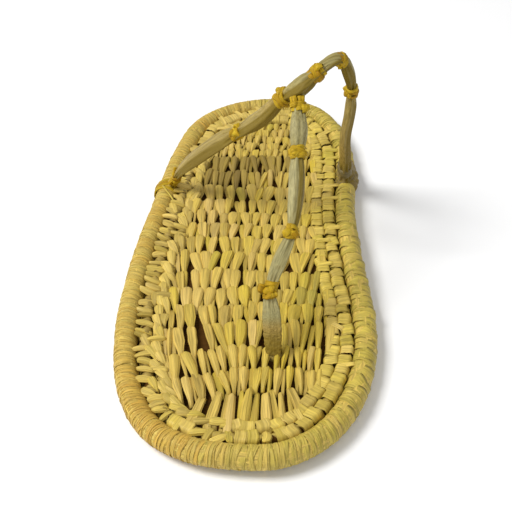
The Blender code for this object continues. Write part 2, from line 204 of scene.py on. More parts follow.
def oval(centre: np.ndarray, x_way: np.ndarray, z_way: np.ndarray, half_x: np.ndarray,
         half_z: np.ndarray, sides: int) -> np.ndarray:
    """Points of an oval section round a centre; its half sizes may vary round it."""
    angle = round_angles(sides)
    return (centre + np.outer(np.cos(angle) * half_x, x_way)
            + np.outer(np.sin(angle) * half_z, z_way))


def lift(along: np.ndarray) -> np.ndarray:
    """Height of the sole's underside over the floor at a place along it."""
    share = np.asarray(along) / SIZES.length
    toe = np.clip((SIZES.toe_from - share) / SIZES.toe_reach, 0.0, 1.0)
    arch = smooth_step(1 - np.abs(share - SIZES.arch_middle) / SIZES.arch_reach)
    return SIZES.toe_spring * toe**2 + SIZES.arch_rise * arch


def row_line(row: tuple[float, float], x: np.ndarray) -> np.ndarray:
    """Place along the sole of a sewing row at places across it; its outer half is steeper."""
    outer, inner = math.tan(math.radians(row[1])), math.tan(SIZES.row_tilt)
    return row[0] * SIZES.length + np.minimum(x, 0.0) * outer + np.maximum(x, 0.0) * inner


def smooth_curve(points: list, before: np.ndarray, after: np.ndarray, steps: int = 24) -> np.ndarray:
    """Dense samples of a smooth curve.

    Args:
        points: the points that it goes through; columns past the third go along.
        before: the point that leads in.
        after: the point that leads out.
        steps: samples between two points.

    Returns:
        The samples, one a row.
    """
    path = np.vstack([before, points, after])
    samples = []
    for lead, start, end, follow in zip(path, path[1:], path[2:], path[3:]):
        gap_in = math.sqrt(np.linalg.norm((start - lead)[:3]))
        gap = math.sqrt(np.linalg.norm((end - start)[:3]))
        gap_out = math.sqrt(np.linalg.norm((follow - end)[:3]))
        leave = (start - lead) / gap_in - (end - lead) / (gap_in + gap) + (end - start) / gap
        arrive = (end - start) / gap - (follow - start) / (gap + gap_out) + (follow - end) / gap_out
        t = (np.arange(steps) / steps)[:, None]
        samples.append(
            (2 * t**3 - 3 * t**2 + 1) * start
            + (t**3 - 2 * t**2 + t) * leave * gap
            + (3 * t**2 - 2 * t**3) * end
            + (t**3 - t**2) * arrive * gap
        )
    samples.append(path[-2:-1])
    return np.vstack(samples)


class Curve:
    """A smooth curve read by its own length."""

    def __init__(self, samples: np.ndarray) -> None:
        """Measure the samples of the curve."""
        self.samples = samples
        steps = np.linalg.norm(np.diff(samples[:, :3], axis=0), axis=1)
        self.lengths = np.concatenate([[0.0], np.cumsum(steps)])
        self.length = float(self.lengths[-1])

    def at(self, distance: np.ndarray) -> np.ndarray:
        """All columns of the curve at distances from its start, one row for each."""
        columns = [np.interp(distance, self.lengths, column) for column in self.samples.T]
        return np.stack(columns, axis=-1)


class ClosedCurve(Curve):
    """A closed curve that runs round the sole."""

    reach = 0.0020

    def frame(self, distance: np.ndarray) -> tuple[np.ndarray, np.ndarray, np.ndarray]:
        """Point, direction and way inwards at a distance, or rows of them at several."""
        back = self.at((distance - self.reach) % self.length)
        ahead = self.at((distance + self.reach) % self.length)
        forward = unit(ahead - back)
        return self.at(distance % self.length), forward, unit(np.cross(UP, forward))


class SoleOutline(ClosedCurve):
    """The closed outline of the sole."""

    reach = 0.0022

    def __init__(self) -> None:
        """Lay the curve through the outline's points."""
        size = np.array([SIZES.width, SIZES.length, 0.0])
        corners = np.array([(*row, 0.0) for row in OUTLINE]) * size
        super().__init__(smooth_curve(np.vstack([corners, corners[:1]]), corners[-1], corners[1]))

    def inside(self, distance: np.ndarray, inset: float, height: float) -> np.ndarray:
        """Points inset from the outline, at a height over the sole's underside."""
        point, _, inwards = self.frame(distance)
        place = point + inwards * inset
        place[..., 2] = height + lift(place[..., 1])
        return place

    def row_span(self, row: tuple[float, float], shift: float, inset: float) -> tuple[float, float]:
        """Where a row's line, shifted along the sole, meets a line inset from the outline."""
        ring = self.inside(np.linspace(0, self.length, SPAN_SAMPLES), inset, 0.0)
        off = ring[:, 1] - row_line(row, ring[:, 0]) - shift
        hits = ring[:-1, 0][np.diff(np.sign(off)) != 0]
        return (hits.min(), hits.max()) if len(hits) > 1 else (0.0, 0.0)


OUTLINE_CURVE = SoleOutline()


class Line(ClosedCurve):
    """A closed line inset from the outline."""

    def __init__(self, inset: float, height: float) -> None:
        """Lay the line at an inset, and at a height over the sole's underside."""
        distances = np.linspace(0, OUTLINE_CURVE.length, LINE_SAMPLES)
        super().__init__(OUTLINE_CURVE.inside(distances, inset, height))

    def nearest(self, place: np.ndarray) -> float:
        """Distance at which the line passes nearest to a place."""
        gaps = np.linalg.norm(self.samples[:, :2] - place[:2], axis=1)
        return float(self.lengths[np.argmin(gaps)])


def in_scene(name: str, data: bpy.types.ID) -> bpy.types.Object:
    """A new object at the origin, linked to the scene."""
    piece = bpy.data.objects.new(name, data)
    bpy.context.scene.collection.objects.link(piece)
    return piece


def keep_note(mesh: bpy.types.Mesh, name: str, kind: str, values: np.ndarray,
              domain: str = "POINT") -> None:
    """Keep one value for each point, or for each edge, of a mesh."""
    layer = mesh.attributes.new(name, kind, domain)
    key = "vector" if kind == "FLOAT_VECTOR" else "value"
    layer.data.foreach_set(key, np.ascontiguousarray(values).ravel())


class Shell:
    """Gathers closed strips and tubes, with leaf coordinates and colour notes, for one mesh."""

    def __init__(self) -> None:
        """Start empty."""
        self.places: list[np.ndarray] = []
        self.faces: list[tuple[int, ...]] = []
        self.coords: list[tuple[float, float]] = []
        self.notes: dict[str, list[np.ndarray]] = {"tint": [], "stain": []}
        self.folds: list[tuple[int, int]] = []
        self.count = 0

    def tube(self, rings: np.ndarray, tint: float | np.ndarray = 0.5,
             stain: float | np.ndarray = 0.0, closed: bool = False,
             leaf_size: tuple[float, float] | None = None,
             folds: tuple[int, ...] = ()) -> None:
        """Skin rings of points.

        Args:
            rings: ring, point and place, in that order of axes.
            tint: colour note, one for all or one for each point.
            stain: how much of the darkening colour is mixed in, for real stains and for painted shade,
                given in the same way.
            closed: whether the last ring meets the first, with no caps.
            leaf_size: girth and length of the leaf in millimetres; None measures them.
            folds: places round the section whose lengthwise edges stay sharp.
        """
        count, around = rings.shape[:2]
        base = self.count
        self.places.append(rings.reshape(-1, 3))
        for name, value in (("tint", tint), ("stain", stain)):
            self.notes[name].append(np.broadcast_to(value, (count, around)).ravel())
        steps = np.linalg.norm(np.diff(rings.mean(axis=1), axis=0), axis=1)
        reach = np.concatenate([[0.0], np.cumsum(steps)]) / MM
        girth = np.linalg.norm(rings - np.roll(rings, 1, axis=1), axis=2).sum(1).mean() / MM
        if leaf_size:
            girth = leaf_size[0]
            reach = np.arange(count) / count * leaf_size[1]
        for i in range(count if closed else count - 1):
            j = (i + 1) % count
            far = reach[j] if j else reach[i] + reach[1]
            self.folds += [(base + i * around + k, base + j * around + k) for k in folds]
            for k in range(around):
                m = (k + 1) % around
                self.faces.append((base + i * around + k, base + i * around + m,
                                   base + j * around + m, base + j * around + k))
                low, high = girth * k / around, girth * (k + 1) / around
                self.coords += [(low, reach[i]), (high, reach[i]), (high, far), (low, far)]
        if not closed:
            for i, order in ((0, range(around - 1, -1, -1)), (count - 1, range(around))):
                self.faces.append(tuple(base + i * around + k for k in order))
                self.coords += [(girth * k / around, reach[i]) for k in order]
        self.count += count * around

    def mesh(self, name: str, noted: bool = True) -> bpy.types.Mesh:
        """The gathered mesh, shaded smooth with its faces outwards, and noted unless a variant."""
        mesh = bpy.data.meshes.new(name)
        mesh.from_pydata(np.vstack(self.places).tolist(), [], self.faces)
        layer = mesh.uv_layers.new(name=UV_NAME)
        layer.data.foreach_set("uv", np.array(self.coords, np.float32).ravel())
        for label, values in self.notes.items() if noted else ():
            keep_note(mesh, label, "FLOAT", np.concatenate(values).astype(np.float32))
        mesh.shade_smooth()
        mesh.update()
        if self.folds:
            ends = np.empty(len(mesh.edges) * 2, np.int64)
            mesh.edges.foreach_get("vertices", ends)
            keys = np.sort(ends.reshape(-1, 2)) @ (self.count, 1)
            sharp = np.sort(np.array(self.folds)) @ (self.count, 1)
            keep_note(mesh, "sharp_edge", "BOOLEAN", np.isin(keys, sharp), "EDGE")
        build = bmesh.new()
        build.from_mesh(mesh)
        bmesh.ops.recalc_face_normals(build, faces=build.faces)
        build.to_mesh(mesh)
        build.free()
        return mesh


class NodeTools:
    """Short ways to add nodes to a tree and link them."""

    def __init__(self, tree: bpy.types.NodeTree) -> None:
        """Work on one tree."""
        self.tree = tree

    def feed(self, node: bpy.types.Node, values: dict) -> None:
        """Set a node's inputs, each to a value or to the output that feeds it."""
        for key, value in values.items():
            if isinstance(value, bpy.types.NodeSocket):
                self.tree.links.new(value, node.inputs[key])
            else:
                node.inputs[key].default_value = value

    def add(self, kind: str, values: dict | None = None, **settings) -> bpy.types.NodeSocket:
        """Add a node.

        Args:
            kind: the node's type.
            values: socket to a value, or to the output that feeds it.
            settings: the node's own settings.

        Returns:
            Its first output, or None where it has none.
        """
        node = self.tree.nodes.new(kind)
        for key, value in settings.items():
            setattr(node, key, value)
        self.feed(node, values or {})
        return node.outputs[0] if node.outputs else None

    def math(self, operation: str, *values) -> bpy.types.NodeSocket:
        """A Math node's result."""
        return self.add("ShaderNodeMath", dict(enumerate(values)), operation=operation)

    def span(self, *values) -> bpy.types.NodeSocket:
        """A value brought from one range, low and high, to another."""
        return self.add("ShaderNodeMapRange", dict(enumerate(values)))

    def mix(self, factor: object, one: object, other: object,
            blend: str = "MIX") -> bpy.types.NodeSocket:
        """A colour mix's result."""
        values = {0: factor, 6: one, 7: other}
        return self.add("ShaderNodeMix", values, data_type="RGBA", blend_type=blend).node.outputs[2]

    def ramp(self, factor: bpy.types.NodeSocket, colours: tuple) -> bpy.types.NodeSocket:
        """A ramp through evenly spaced colours."""
        result = self.add("ShaderNodeValToRGB", {0: factor})
        elements = result.node.color_ramp.elements
        while len(elements) < len(colours):
            elements.new(0.5)
        for place, element, colour in zip(np.linspace(0, 1, len(colours)), elements, colours):
            element.position = place
            element.color = (*colour, 1.0)
        return result


def fibre_group() -> bpy.types.ShaderNodeTree:
    """The effect that all leaf shares: streaks along a strip, creases and fine grain.

    Returns:
        A group with a streak mask, a crease height and a blotch mask.
    """
    tree = bpy.data.node_groups.new("leaf_fibre", "ShaderNodeTree")
    for name, value in (("Fineness", 1.0), ("Drift", 0.0)):
        socket = tree.interface.new_socket(name=name, in_out="INPUT", socket_type="NodeSocketFloat")
        socket.default_value = value
    for name in ("Streak", "Height", "Blotch"):
        tree.interface.new_socket(name=name, in_out="OUTPUT", socket_type="NodeSocketFloat")
    tools = NodeTools(tree)
    inputs = tree.nodes.new("NodeGroupInput").outputs
    leaf = tools.add("ShaderNodeUVMap", uv_map=UV_NAME)
    split = tools.add("ShaderNodeSeparateXYZ", {0: leaf}).node.outputs
    across = tools.math("MULTIPLY", split[0], inputs["Fineness"])
    drift = tools.math("MULTIPLY", inputs["Drift"], 61.0)

    def noise(across_scale: float, along_scale: float, detail: float) -> bpy.types.NodeSocket:
        """Noise drawn out along the leaf, with its scales in waves a millimetre."""
        place = tools.add("ShaderNodeCombineXYZ", {
            0: tools.math("MULTIPLY", across, across_scale),
            1: tools.math("MULTIPLY", split[1], along_scale), 2: drift})
        return tools.add("ShaderNodeTexNoise", {"Vector": place, "Scale": 1.0, "Detail": detail,
                                                "Roughness": 0.6})

    def blend(*layers: tuple) -> bpy.types.NodeSocket:
        """Sum of noises, each with its share."""
        shares = [tools.math("MULTIPLY", layer, share) for layer, share in layers]
        total = shares[0]
        for share in shares[1:]:
            total = tools.math("ADD", total, share)
        return total

    fine = noise(2.6, 0.14, 3.0)
    broad = noise(0.95, 0.07, 2.0)
    grain = noise(4.0, 1.1, 2.0)
    tools.add("NodeGroupOutput", {
        "Streak": blend((fine, 0.6), (broad, 0.4)),
        "Height": blend((broad, 0.75), (fine, 0.35), (grain, 0.10)),
        "Blotch": noise(0.35, 0.22, 3.0),
    })
    return tree


@dataclass(frozen=True)
class LeafFinish:
    """Dried leaf: colours from pale to deep, a darkening colour for stains and painted shade, and
    gloss.
    """

    name: str
    slot: str
    colours: tuple
    # darkening colour: real stains on the leaf, and painted shade where a piece's notes carry it
    stain: tuple = (0.195, 0.128, 0.022)
    blotch: tuple = (0.50, 0.30, 0.10)
    blotch_share: float = 0.25
    streak_dark: float = 0.60
    streak_light: float = 1.18
    roughness: float = 0.56
    specular: float = 0.38
    relief: float = 0.00022
    fineness: float = 1.0

    def material(self, fibre: bpy.types.ShaderNodeTree) -> bpy.types.Material:
        """Build the finish's material round the shared fibre group."""
        material = bpy.data.materials.new(self.name)
        material.use_nodes = True
        tools = NodeTools(material.node_tree)
        tint, stain = (tools.add("ShaderNodeAttribute", attribute_name=name).node.outputs["Fac"]
                       for name in ("tint", "stain"))
        group = tools.add("ShaderNodeGroup", {"Fineness": self.fineness, "Drift": tint},
                          node_tree=fibre)
        streak, height, blotch = group.node.outputs
        streak = tools.span(streak, 0.36, 0.64, self.streak_dark, self.streak_light)
        shade = tools.add("ShaderNodeCombineXYZ", {0: streak, 1: streak, 2: streak})
        base = tools.mix(1.0, tools.ramp(tint, self.colours), shade, "MULTIPLY")
        patch = tools.span(blotch, 0.55, 0.75, 0.0, self.blotch_share)
        base = tools.mix(patch, base, (*self.blotch, 1.0))
        rough = self.roughness
        tools.feed(material.node_tree.nodes["Principled BSDF"], {
            # the darkening note mixes in real stains and painted shade
            "Base Color": tools.mix(stain, base, (*self.stain, 1.0)),
            "Roughness": tools.span(height, 0.3, 0.9, rough + 0.1, rough - 0.1),
            "Normal": tools.add("ShaderNodeBump", {"Strength": 1.0, "Distance": self.relief,
                                                   "Height": height}),
            "Specular IOR Level": self.specular,
        })
        return material


FINISHES = {
    "field": LeafFinish(
        "field_strips", "field_leaf",
        ((0.67, 0.475, 0.128), (0.65, 0.462, 0.096), (0.61, 0.44, 0.070), (0.63, 0.46, 0.045),
         (0.44, 0.35, 0.05)), blotch=(0.46, 0.26, 0.06), relief=0.00045,
    ),
    # bundles: brown leaf, made darker as painted shade for the deep gaps between strips and wraps
    "bundle": LeafFinish(
        "field_bundles", "field_leaf",
        ((0.12, 0.052, 0.008), (0.090, 0.039, 0.006), (0.14, 0.062, 0.009)), relief=0.0004,
        blotch_share=0.0, roughness=0.8, specular=0.08,
    ),
    "coil": LeafFinish(
        "coil_strips", "coil_leaf",
        ((0.71, 0.515, 0.128), (0.69, 0.505, 0.108), (0.66, 0.49, 0.080), (0.54, 0.42, 0.05)),
        blotch=(0.46, 0.28, 0.07), relief=0.00045,
    ),
    "rim": LeafFinish(
        "rim_wraps", "rim_leaf",
        ((0.52, 0.41, 0.056), (0.59, 0.45, 0.074), (0.66, 0.475, 0.094), (0.62, 0.40, 0.06),
         (0.60, 0.36, 0.05)), blotch=(0.44, 0.27, 0.05), relief=0.0008,
    ),
    # straps: their darkening colour is mostly painted shade, for creases, pleats, wrinkles and the side
    # turned from the light
    "strap": LeafFinish(
        "strap_leaf_wrap", "strap_leaf",
        ((0.42, 0.37, 0.18), (0.36, 0.32, 0.135), (0.41, 0.29, 0.080), (0.31, 0.22, 0.035),
         (0.30, 0.225, 0.115)), stain=(0.165, 0.110, 0.005),
        blotch=(0.22, 0.15, 0.03), blotch_share=0.35, relief=0.0005, roughness=0.55,
        specular=0.18,
    ),
    "tie": LeafFinish(
        "tie_turns", "tie_leaf",
        ((0.45, 0.270, 0.009), (0.56, 0.385, 0.020), (0.32, 0.155, 0.004)),
        blotch=(0.20, 0.10, 0.004), blotch_share=0.75, roughness=0.5, relief=0.0006,
        specular=0.12,
    ),
    "tie_dull": LeafFinish(
        "tie_turns_dull", "tie_leaf",
        ((0.22, 0.17, 0.06), (0.15, 0.115, 0.045), (0.40, 0.28, 0.04)),
        blotch=(0.10, 0.07, 0.02), blotch_share=0.5, relief=0.0005,
    ),
}


class Plan:
    """Where strips are sewn on: loose points with a turn, a size and colour notes."""

    def __init__(self) -> None:
        """Start empty."""
        self.rows: list[tuple] = []

    def add(self, place: np.ndarray, x_way: np.ndarray, y_way: np.ndarray, size: tuple,
            tint: float, stain: float = 0.0) -> None:
        """Plan one strip.

        Args:
            place: where its middle goes.
            x_way: direction of its width.
            y_way: direction of its length.
            size: its width, length and height.
            tint: colour note.
            stain: how much of the darkening colour is mixed in, for real stains and for painted shade.
        """
        y_axis = Vector(y_way).normalized()
        z_axis = Vector(x_way).cross(y_axis).normalized()
        turn = Matrix((y_axis.cross(z_axis), y_axis, z_axis)).transposed().to_euler()
        self.rows.append((*place, *turn, *size, float(np.clip(tint, 0, 1)), stain))

    def mesh(self, name: str) -> bpy.types.Mesh:
        """The plan as a mesh of loose points."""
        table = np.array(self.rows, np.float32)
        mesh = bpy.data.meshes.new(name)
        mesh.from_pydata(table[:, :3].tolist(), [], [])
        keep_note(mesh, "turn", "FLOAT_VECTOR", table[:, 3:6])
        keep_note(mesh, "size", "FLOAT_VECTOR", table[:, 6:9])
        keep_note(mesh, "tint", "FLOAT", table[:, 9])
        keep_note(mesh, "stain", "FLOAT", table[:, 10])
        return mesh


class SewingTree:
    """Geometry Nodes that set a strip on every point of a plan."""

    def __init__(self) -> None:
        """Build the tree with its named inputs."""
        self.tree = bpy.data.node_groups.new("sew_on_points", "GeometryNodeTree")
        face = self.tree.interface
        for name, kind in (("Plan", "Geometry"), ("Strips", "Collection"), ("Seed", "Int"),
                           ("Jitter", "Float"), ("Leaf", "Material")):
            face.new_socket(name=name, in_out="INPUT", socket_type=f"NodeSocket{kind}")
        face.new_socket(name="Sewing", in_out="OUTPUT", socket_type="NodeSocketGeometry")
        self.sockets = {item.name: item.identifier for item in face.items_tree}
        self.link_up()

    def link_up(self) -> None:
        """Add the tree's nodes and links."""
        tools = NodeTools(self.tree)
        inputs = self.tree.nodes.new("NodeGroupInput").outputs
        turn, size = (tools.add("GeometryNodeInputNamedAttribute", {0: name},
                                data_type="FLOAT_VECTOR") for name in ("turn", "size"))
        strips = tools.add("GeometryNodeCollectionInfo", {
            "Collection": inputs["Strips"], "Separate Children": True, "Reset Children": True})
        wobble = tools.add("FunctionNodeRandomValue", {
            0: (-1.0, -1.0, -1.0), 1: (1.0, 1.0, 1.0), "Seed": inputs["Seed"],
        }, data_type="FLOAT_VECTOR")
        wobble = tools.add("ShaderNodeVectorMath", {0: wobble, "Scale": inputs["Jitter"]},
                           operation="SCALE")
        turned = tools.add("FunctionNodeRotateRotation", {
            0: tools.add("FunctionNodeEulerToRotation", {0: turn}),
            1: tools.add("FunctionNodeEulerToRotation", {0: wobble}),
        }, rotation_space="LOCAL")
        # sockets 4 and 5 are the least and the most of a whole number, and output 2 is that number
        chance = tools.add("FunctionNodeRandomValue", {4: 0, 5: 1000, "Seed": inputs["Seed"]},
                           data_type="INT").node.outputs[2]
        placed = tools.add("GeometryNodeInstanceOnPoints", {
            "Points": inputs["Plan"], "Instance": strips, "Pick Instance": True,
            "Instance Index": chance, "Rotation": turned, "Scale": size})
        real = tools.add("GeometryNodeRealizeInstances", {0: placed})
        dressed = tools.add("GeometryNodeSetMaterial", {"Geometry": real,
                                                        "Material": inputs["Leaf"]})
        tools.add("NodeGroupOutput", {0: dressed})

    def sew(self, name: str, plan: Plan, strips: bpy.types.Collection,
            leaf: bpy.types.Material, seed: int, jitter: float) -> bpy.types.Object:
        """Sew a plan and keep the result as a plain mesh.

        Args:
            name: the piece's name.
            plan: where the strips go.
            strips: the variants to choose from.
            leaf: the strips' material.
            seed: seed of the chance in it.
            jitter: largest extra turn about each axis, in radians.

        Returns:
            The piece, linked to the scene.
        """
        piece = in_scene(name, plan.mesh(f"{name}_plan"))
        modifier = piece.modifiers.new("sewing", "NODES")
        modifier.node_group = self.tree
        values = {"Strips": strips, "Seed": seed, "Jitter": jitter, "Leaf": leaf}
        for label, value in values.items():
            modifier[self.sockets[label]] = value
        graph = bpy.context.evaluated_depsgraph_get()
        mesh = bpy.data.meshes.new_from_object(piece.evaluated_get(graph), depsgraph=graph)
        piece.modifiers.clear()
        piece.data = mesh
        mesh.name = name
        return piece


class StripStore:
    """Variants of each strip, kept out of the scene until they are sewn on."""

    def __init__(self, name: str) -> None:
        """Open a store."""
        self.name = name
        self.collection = bpy.data.collections.new(name)

    def put(self, rings: np.ndarray, size: tuple[float, float], closed: bool = False,
            folds: tuple[int, ...] = ()) -> None:
        """Add a variant.

        Args:
            rings: the strip's sections, in shares of its width, length and height.
            size: girth and length of the real strip, in millimetres.
            closed: whether it closes on itself.
            folds: places round its section whose edges stay sharp.
        """
        shell = Shell()
        shell.tube(rings, closed=closed, leaf_size=size, folds=folds)
        label = f"{self.name}_{len(self.collection.objects):02d}"
        variant = bpy.data.objects.new(label, shell.mesh(label, noted=False))
        self.collection.objects.link(variant)

    def empty(self) -> None:
        """Throw the variants away once they are sewn on."""
        for strip in list(self.collection.objects):
            bpy.data.objects.remove(strip)
        bpy.data.collections.remove(self.collection)


@dataclass(frozen=True)
class StripForms:
    """Forms of the sewing strips, in shares of their own width, length and height."""

    band_turns: int = 22
    variants: int = 10
    leaf: float = 0.18
    seed: int = 5
    places: tuple = (0.0, 0.025, 0.07, 0.13, 0.22, 0.36, 0.52, 0.68, 0.84, 1.0)

    def section(self, rng: np.random.Generator, arch: float,
                flat: float) -> tuple[np.ndarray, np.ndarray]:
        """A folded strip's section, five places on top and three under it.

        Args:
            rng: source of chance.
            arch: how far its edges lie under its crown.
            flat: share of its half width that stays near the crown.

        Returns:
            How far across and how far up each place is.
        """
        across = np.array([-1.0, -flat, 0.0, flat, 1.0, 0.75, 0.0, -0.75]) * 0.5
        across[1:4] += rng.uniform(-0.07, 0.07, 3)
        up = np.array([-1.0, -0.18, 0.0, -0.18, -1.0, -1.3, -0.9, -1.3]) * arch
        up[1:4] += rng.uniform(-0.07, 0.07, 3)
        up[2] += rng.choice([-0.13, 0.0, 0.10])
        up[5:] -= self.leaf
        return across, up

    def strip(self, rng: np.random.Generator, widths: tuple, heights: np.ndarray, arch: float,
              flat: float = 0.66, roll: float = 14.0, bend: float = 0.10) -> np.ndarray:
        """A strip with its own outline and side view.

        Args:
            rng: source of chance.
            widths: places along it and its width there, as two rows.
            heights: height of its crown at each of the form's places.
            arch: how far its edges lie under its crown.
            flat: share of its half width that stays near the crown.
            roll: most degrees that it leans over at its head.
            bend: most that it bends sideways.

        Returns:
            Its sections.
        """
        across, up = self.section(rng, arch, flat)
        place = np.array(self.places)
        width = np.interp(place, *widths) * rng.uniform(0.95, 1.05, len(place))
        aside = rng.uniform(-bend, bend) * np.sin(place * math.pi)
        lean = np.sin(np.radians(rng.uniform(-roll, roll)) * (1.1 - place))
        rings = np.empty((len(place), len(across), 3))
        rings[..., 0] = across * width[:, None] + aside[:, None]
        rings[..., 1] = (0.5 - place)[:, None]
        rings[..., 2] = heights[:, None] + up * (0.5 + 0.5 * width)[:, None]
        rings[..., 2] += across * lean[:, None]
        return rings

    def tongue(self, rng: np.random.Generator, tail: float, shoulder: float, dive: float,
               arch: float) -> np.ndarray:
        """A strip with a full round head that narrows to a tail.

        Args:
            rng: source of chance.
            tail: width of its tail.
            shoulder: place along it up to which it keeps its full width.
            dive: place at which its tail starts to go down.
            arch: how far its edges lie under its crown.

        Returns:
            Its sections.
        """
        place = np.array(self.places)
        head = 1 - np.clip(place / rng.uniform(0.13, 0.19), 0, 1)
        heights = -0.9 * (1 - np.sqrt(1 - np.clip(head, 0, 0.999) ** 2))
        heights -= smooth_step((place - dive) / (1.15 - dive))
        widths = ([0.0, 0.05, 0.14, 0.24, shoulder, 0.78, 1.0],
                  [0.46, 0.80, 0.97, 1.0, 0.96, (tail + 0.4) / 1.4, tail])
        return self.strip(rng, widths, heights, arch)

    def slat(self, rng: np.random.Generator) -> np.ndarray:
        """A long slender strip, widest past its middle."""
        place = np.array(self.places)
        heights = -0.8 * (1 - np.clip(place / 0.16, 0, 1)) ** 2
        heights -= 0.9 * smooth_step((place - 0.78) / 0.26)
        peak = rng.uniform(0.5, 0.75)
        widths = ([0.0, 0.14, peak, 0.9, 1.0], [0.52, 0.70, 1.0, 0.92, 0.74])
        return self.strip(rng, widths, heights, 0.30, bend=0.10)

    def fin(self, rng: np.random.Generator) -> np.ndarray:
        """A short strip with a point that juts out of a coil."""
        place = np.array(self.places)
        heights = -0.5 * place**2 * rng.uniform(0.6, 1.6) + rng.uniform(-0.15, 0.2) * (1 - place)
        widths = ([0.0, 0.07, 0.30, 0.8, 1.0], [0.34, 0.78, 1.0, 1.0, rng.uniform(0.7, 0.95)])
        return self.strip(rng, widths, heights, 0.34, flat=0.72, roll=18.0, bend=0.20)

    def brick(self, rng: np.random.Generator) -> np.ndarray:
        """A broad strip laid flat over a coil, going down steeply at both its ends."""
        place = np.array(self.places)
        spread = 0.5 - 0.5 * np.cos(place * math.pi)
        heights = -np.abs(2 * place - 1) ** rng.uniform(6.0, 9.0)
        heights += rng.uniform(-0.05, 0.05, len(place)) + rng.uniform(-0.2, 0.2) * (spread - 0.5)
        widths = ([0.0, 0.1, 0.5, 0.9, 1.0], [0.86, 0.97, 1.0, 0.97, 0.86])
        return self.strip(rng, widths, heights, 0.16, flat=0.84, roll=7.0, bend=0.10)

    def band(self, rng: np.random.Generator, thickness: float, tilt: float, edge: float,
             ripple: float) -> np.ndarray:
        """A strip wound once round a coil of radius 1.

        Args:
            rng: source of chance.
            thickness: how far its inner face lies inside that radius.
            tilt: how far the turn leans along the coil.
            edge: how far its edges lie inside its middle.
            ripple: how uneven its surface is.

        Returns:
            Its sections.
        """
        along = np.array([-0.5, -0.32, 0.0, 0.32, 0.5, 0.3, -0.3])
        along[1:4] += rng.uniform(-0.10, 0.10, 3)
        out = np.array([-edge, 0.0, 0.0, 0.0, -edge, -thickness, -thickness])
        out[1:4] -= rng.uniform(0.0, ripple, 3)
        angle = round_angles(self.band_turns)
        wave = ripple * 0.6 * np.sin(angle * 3 + rng.uniform(0, 6))
        wave += ripple * 0.6 * np.sin(angle * 5 + rng.uniform(0, 6)) - ripple
        wave += rng.uniform(-0.3, 0.3, self.band_turns) * ripple
        lean = tilt * np.sin(angle + rng.uniform(0, 6))
        lean += tilt * 0.3 * np.sin(angle * 3 + rng.uniform(0, 6))
        width = 1 + 0.22 * np.sin(angle * 2 + rng.uniform(0, 6))
        radius = 1 + out + wave[:, None]
        rings = np.empty((self.band_turns, len(along), 3))
        rings[..., 0] = radius * np.cos(angle)[:, None]
        rings[..., 1] = along * width[:, None] + lean[:, None]
        rings[..., 2] = radius * np.sin(angle)[:, None]
        return rings

    def stores(self) -> dict[str, StripStore]:
        """Fill a store with variants of every form."""
        rng = np.random.default_rng(self.seed)
        made = {name: StripStore(name) for name in
                ("petal", "plank", "slat", "fin", "brick", "flat", "knot", "wrap", "lump", "turn")}
        creased, plain = (0, 1, 2, 3, 4), (0, 1, 3, 4)
        for i in range(self.variants):
            folds = creased if i % 2 else plain
            petal = self.tongue(rng, rng.uniform(0.28, 0.46), 0.46, 0.56, 0.34)
            made["petal"].put(petal, (10, 13), folds=folds)
            plank = self.tongue(rng, rng.uniform(0.36, 0.58), rng.uniform(0.40, 0.56), 0.80, 0.30)
            made["plank"].put(plank, (10, 17), folds=folds)
            made["slat"].put(self.slat(rng), (10, 20), folds=folds)
            made["fin"].put(self.fin(rng), (7, 8), folds=creased)
            made["brick"].put(self.brick(rng), (11, 7), folds=folds)
            made["flat"].put(self.tongue(rng, rng.uniform(0.5, 0.7), 0.5, 0.7, 0.12), (10, 13))
            made["knot"].put(self.tongue(rng, 0.7, 0.5, 0.45, 0.45), (6, 5), folds=folds)
            made["wrap"].put(self.band(rng, 0.13, 0.25, 0.016, 0.016), (4, 31), closed=True)
            made["lump"].put(self.band(rng, 0.16, 0.09, 0.034, 0.028), (10, 31), closed=True)
            made["turn"].put(self.band(rng, 0.34, 0.22, 0.13, 0.08), (5, 22), closed=True)
        return made


@dataclass
class Workshop:
    """What every sub-assembly is made with: leaf materials, strips and the sewing tree."""

    leaves: dict[str, bpy.types.Material]
    strips: dict[str, StripStore]
    tree: SewingTree

    def present(self, piece: bpy.types.Object, finish: str, *nodes: str) -> bpy.types.Object:
        """Press a finished piece flat on the floor and hand it over to the frame.

        Args:
            piece: the piece, with its material on it.
            finish: key of its finish; not used.
            nodes: the solids that it stands for.

        Returns:
            The piece.
        """
        places = np.empty(len(piece.data.vertices) * 3, np.float32)
        piece.data.vertices.foreach_get("co", places)
        places[2::3] = np.maximum(places[2::3], 0.0)
        piece.data.vertices.foreach_set("co", places)
        piece.data.update()
        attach(piece, "root")
        if nodes:
            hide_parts(*nodes)
        LOG.info("%s: %d faces", piece.name, len(piece.data.polygons))
        return piece

    def sewn(self, name: str, plan: Plan, store: str, finish: str, seed: int, jitter: float,
             *nodes: str) -> bpy.types.Object:
        """Sew a plan with one store's strips and hand it over."""
        piece = self.tree.sew(name, plan, self.strips[store].collection, self.leaves[finish],
                              seed, jitter)
        return self.present(piece, finish, *nodes)

    def shaped(self, name: str, shell: Shell, finish: str, *nodes: str) -> bpy.types.Object:
        """Make a piece of a shell of tubes and hand it over."""
        mesh = shell.mesh(name)
        mesh.materials.append(self.leaves[finish])
        return self.present(in_scene(name, mesh), finish, *nodes)


@dataclass(frozen=True)
class Patch:
    """A soft patch of colour on the sole: strength, then middle and reach across and along."""

    strength: float
    x: float = 0.0
    x_reach: float = math.inf
    y: float = 0.0
    y_reach: float = math.inf

    def at(self, x: float, y: float) -> float:
        """Strength of the patch at a place."""
        return self.strength * near(x, self.x, self.x_reach) * near(y, self.y, self.y_reach)
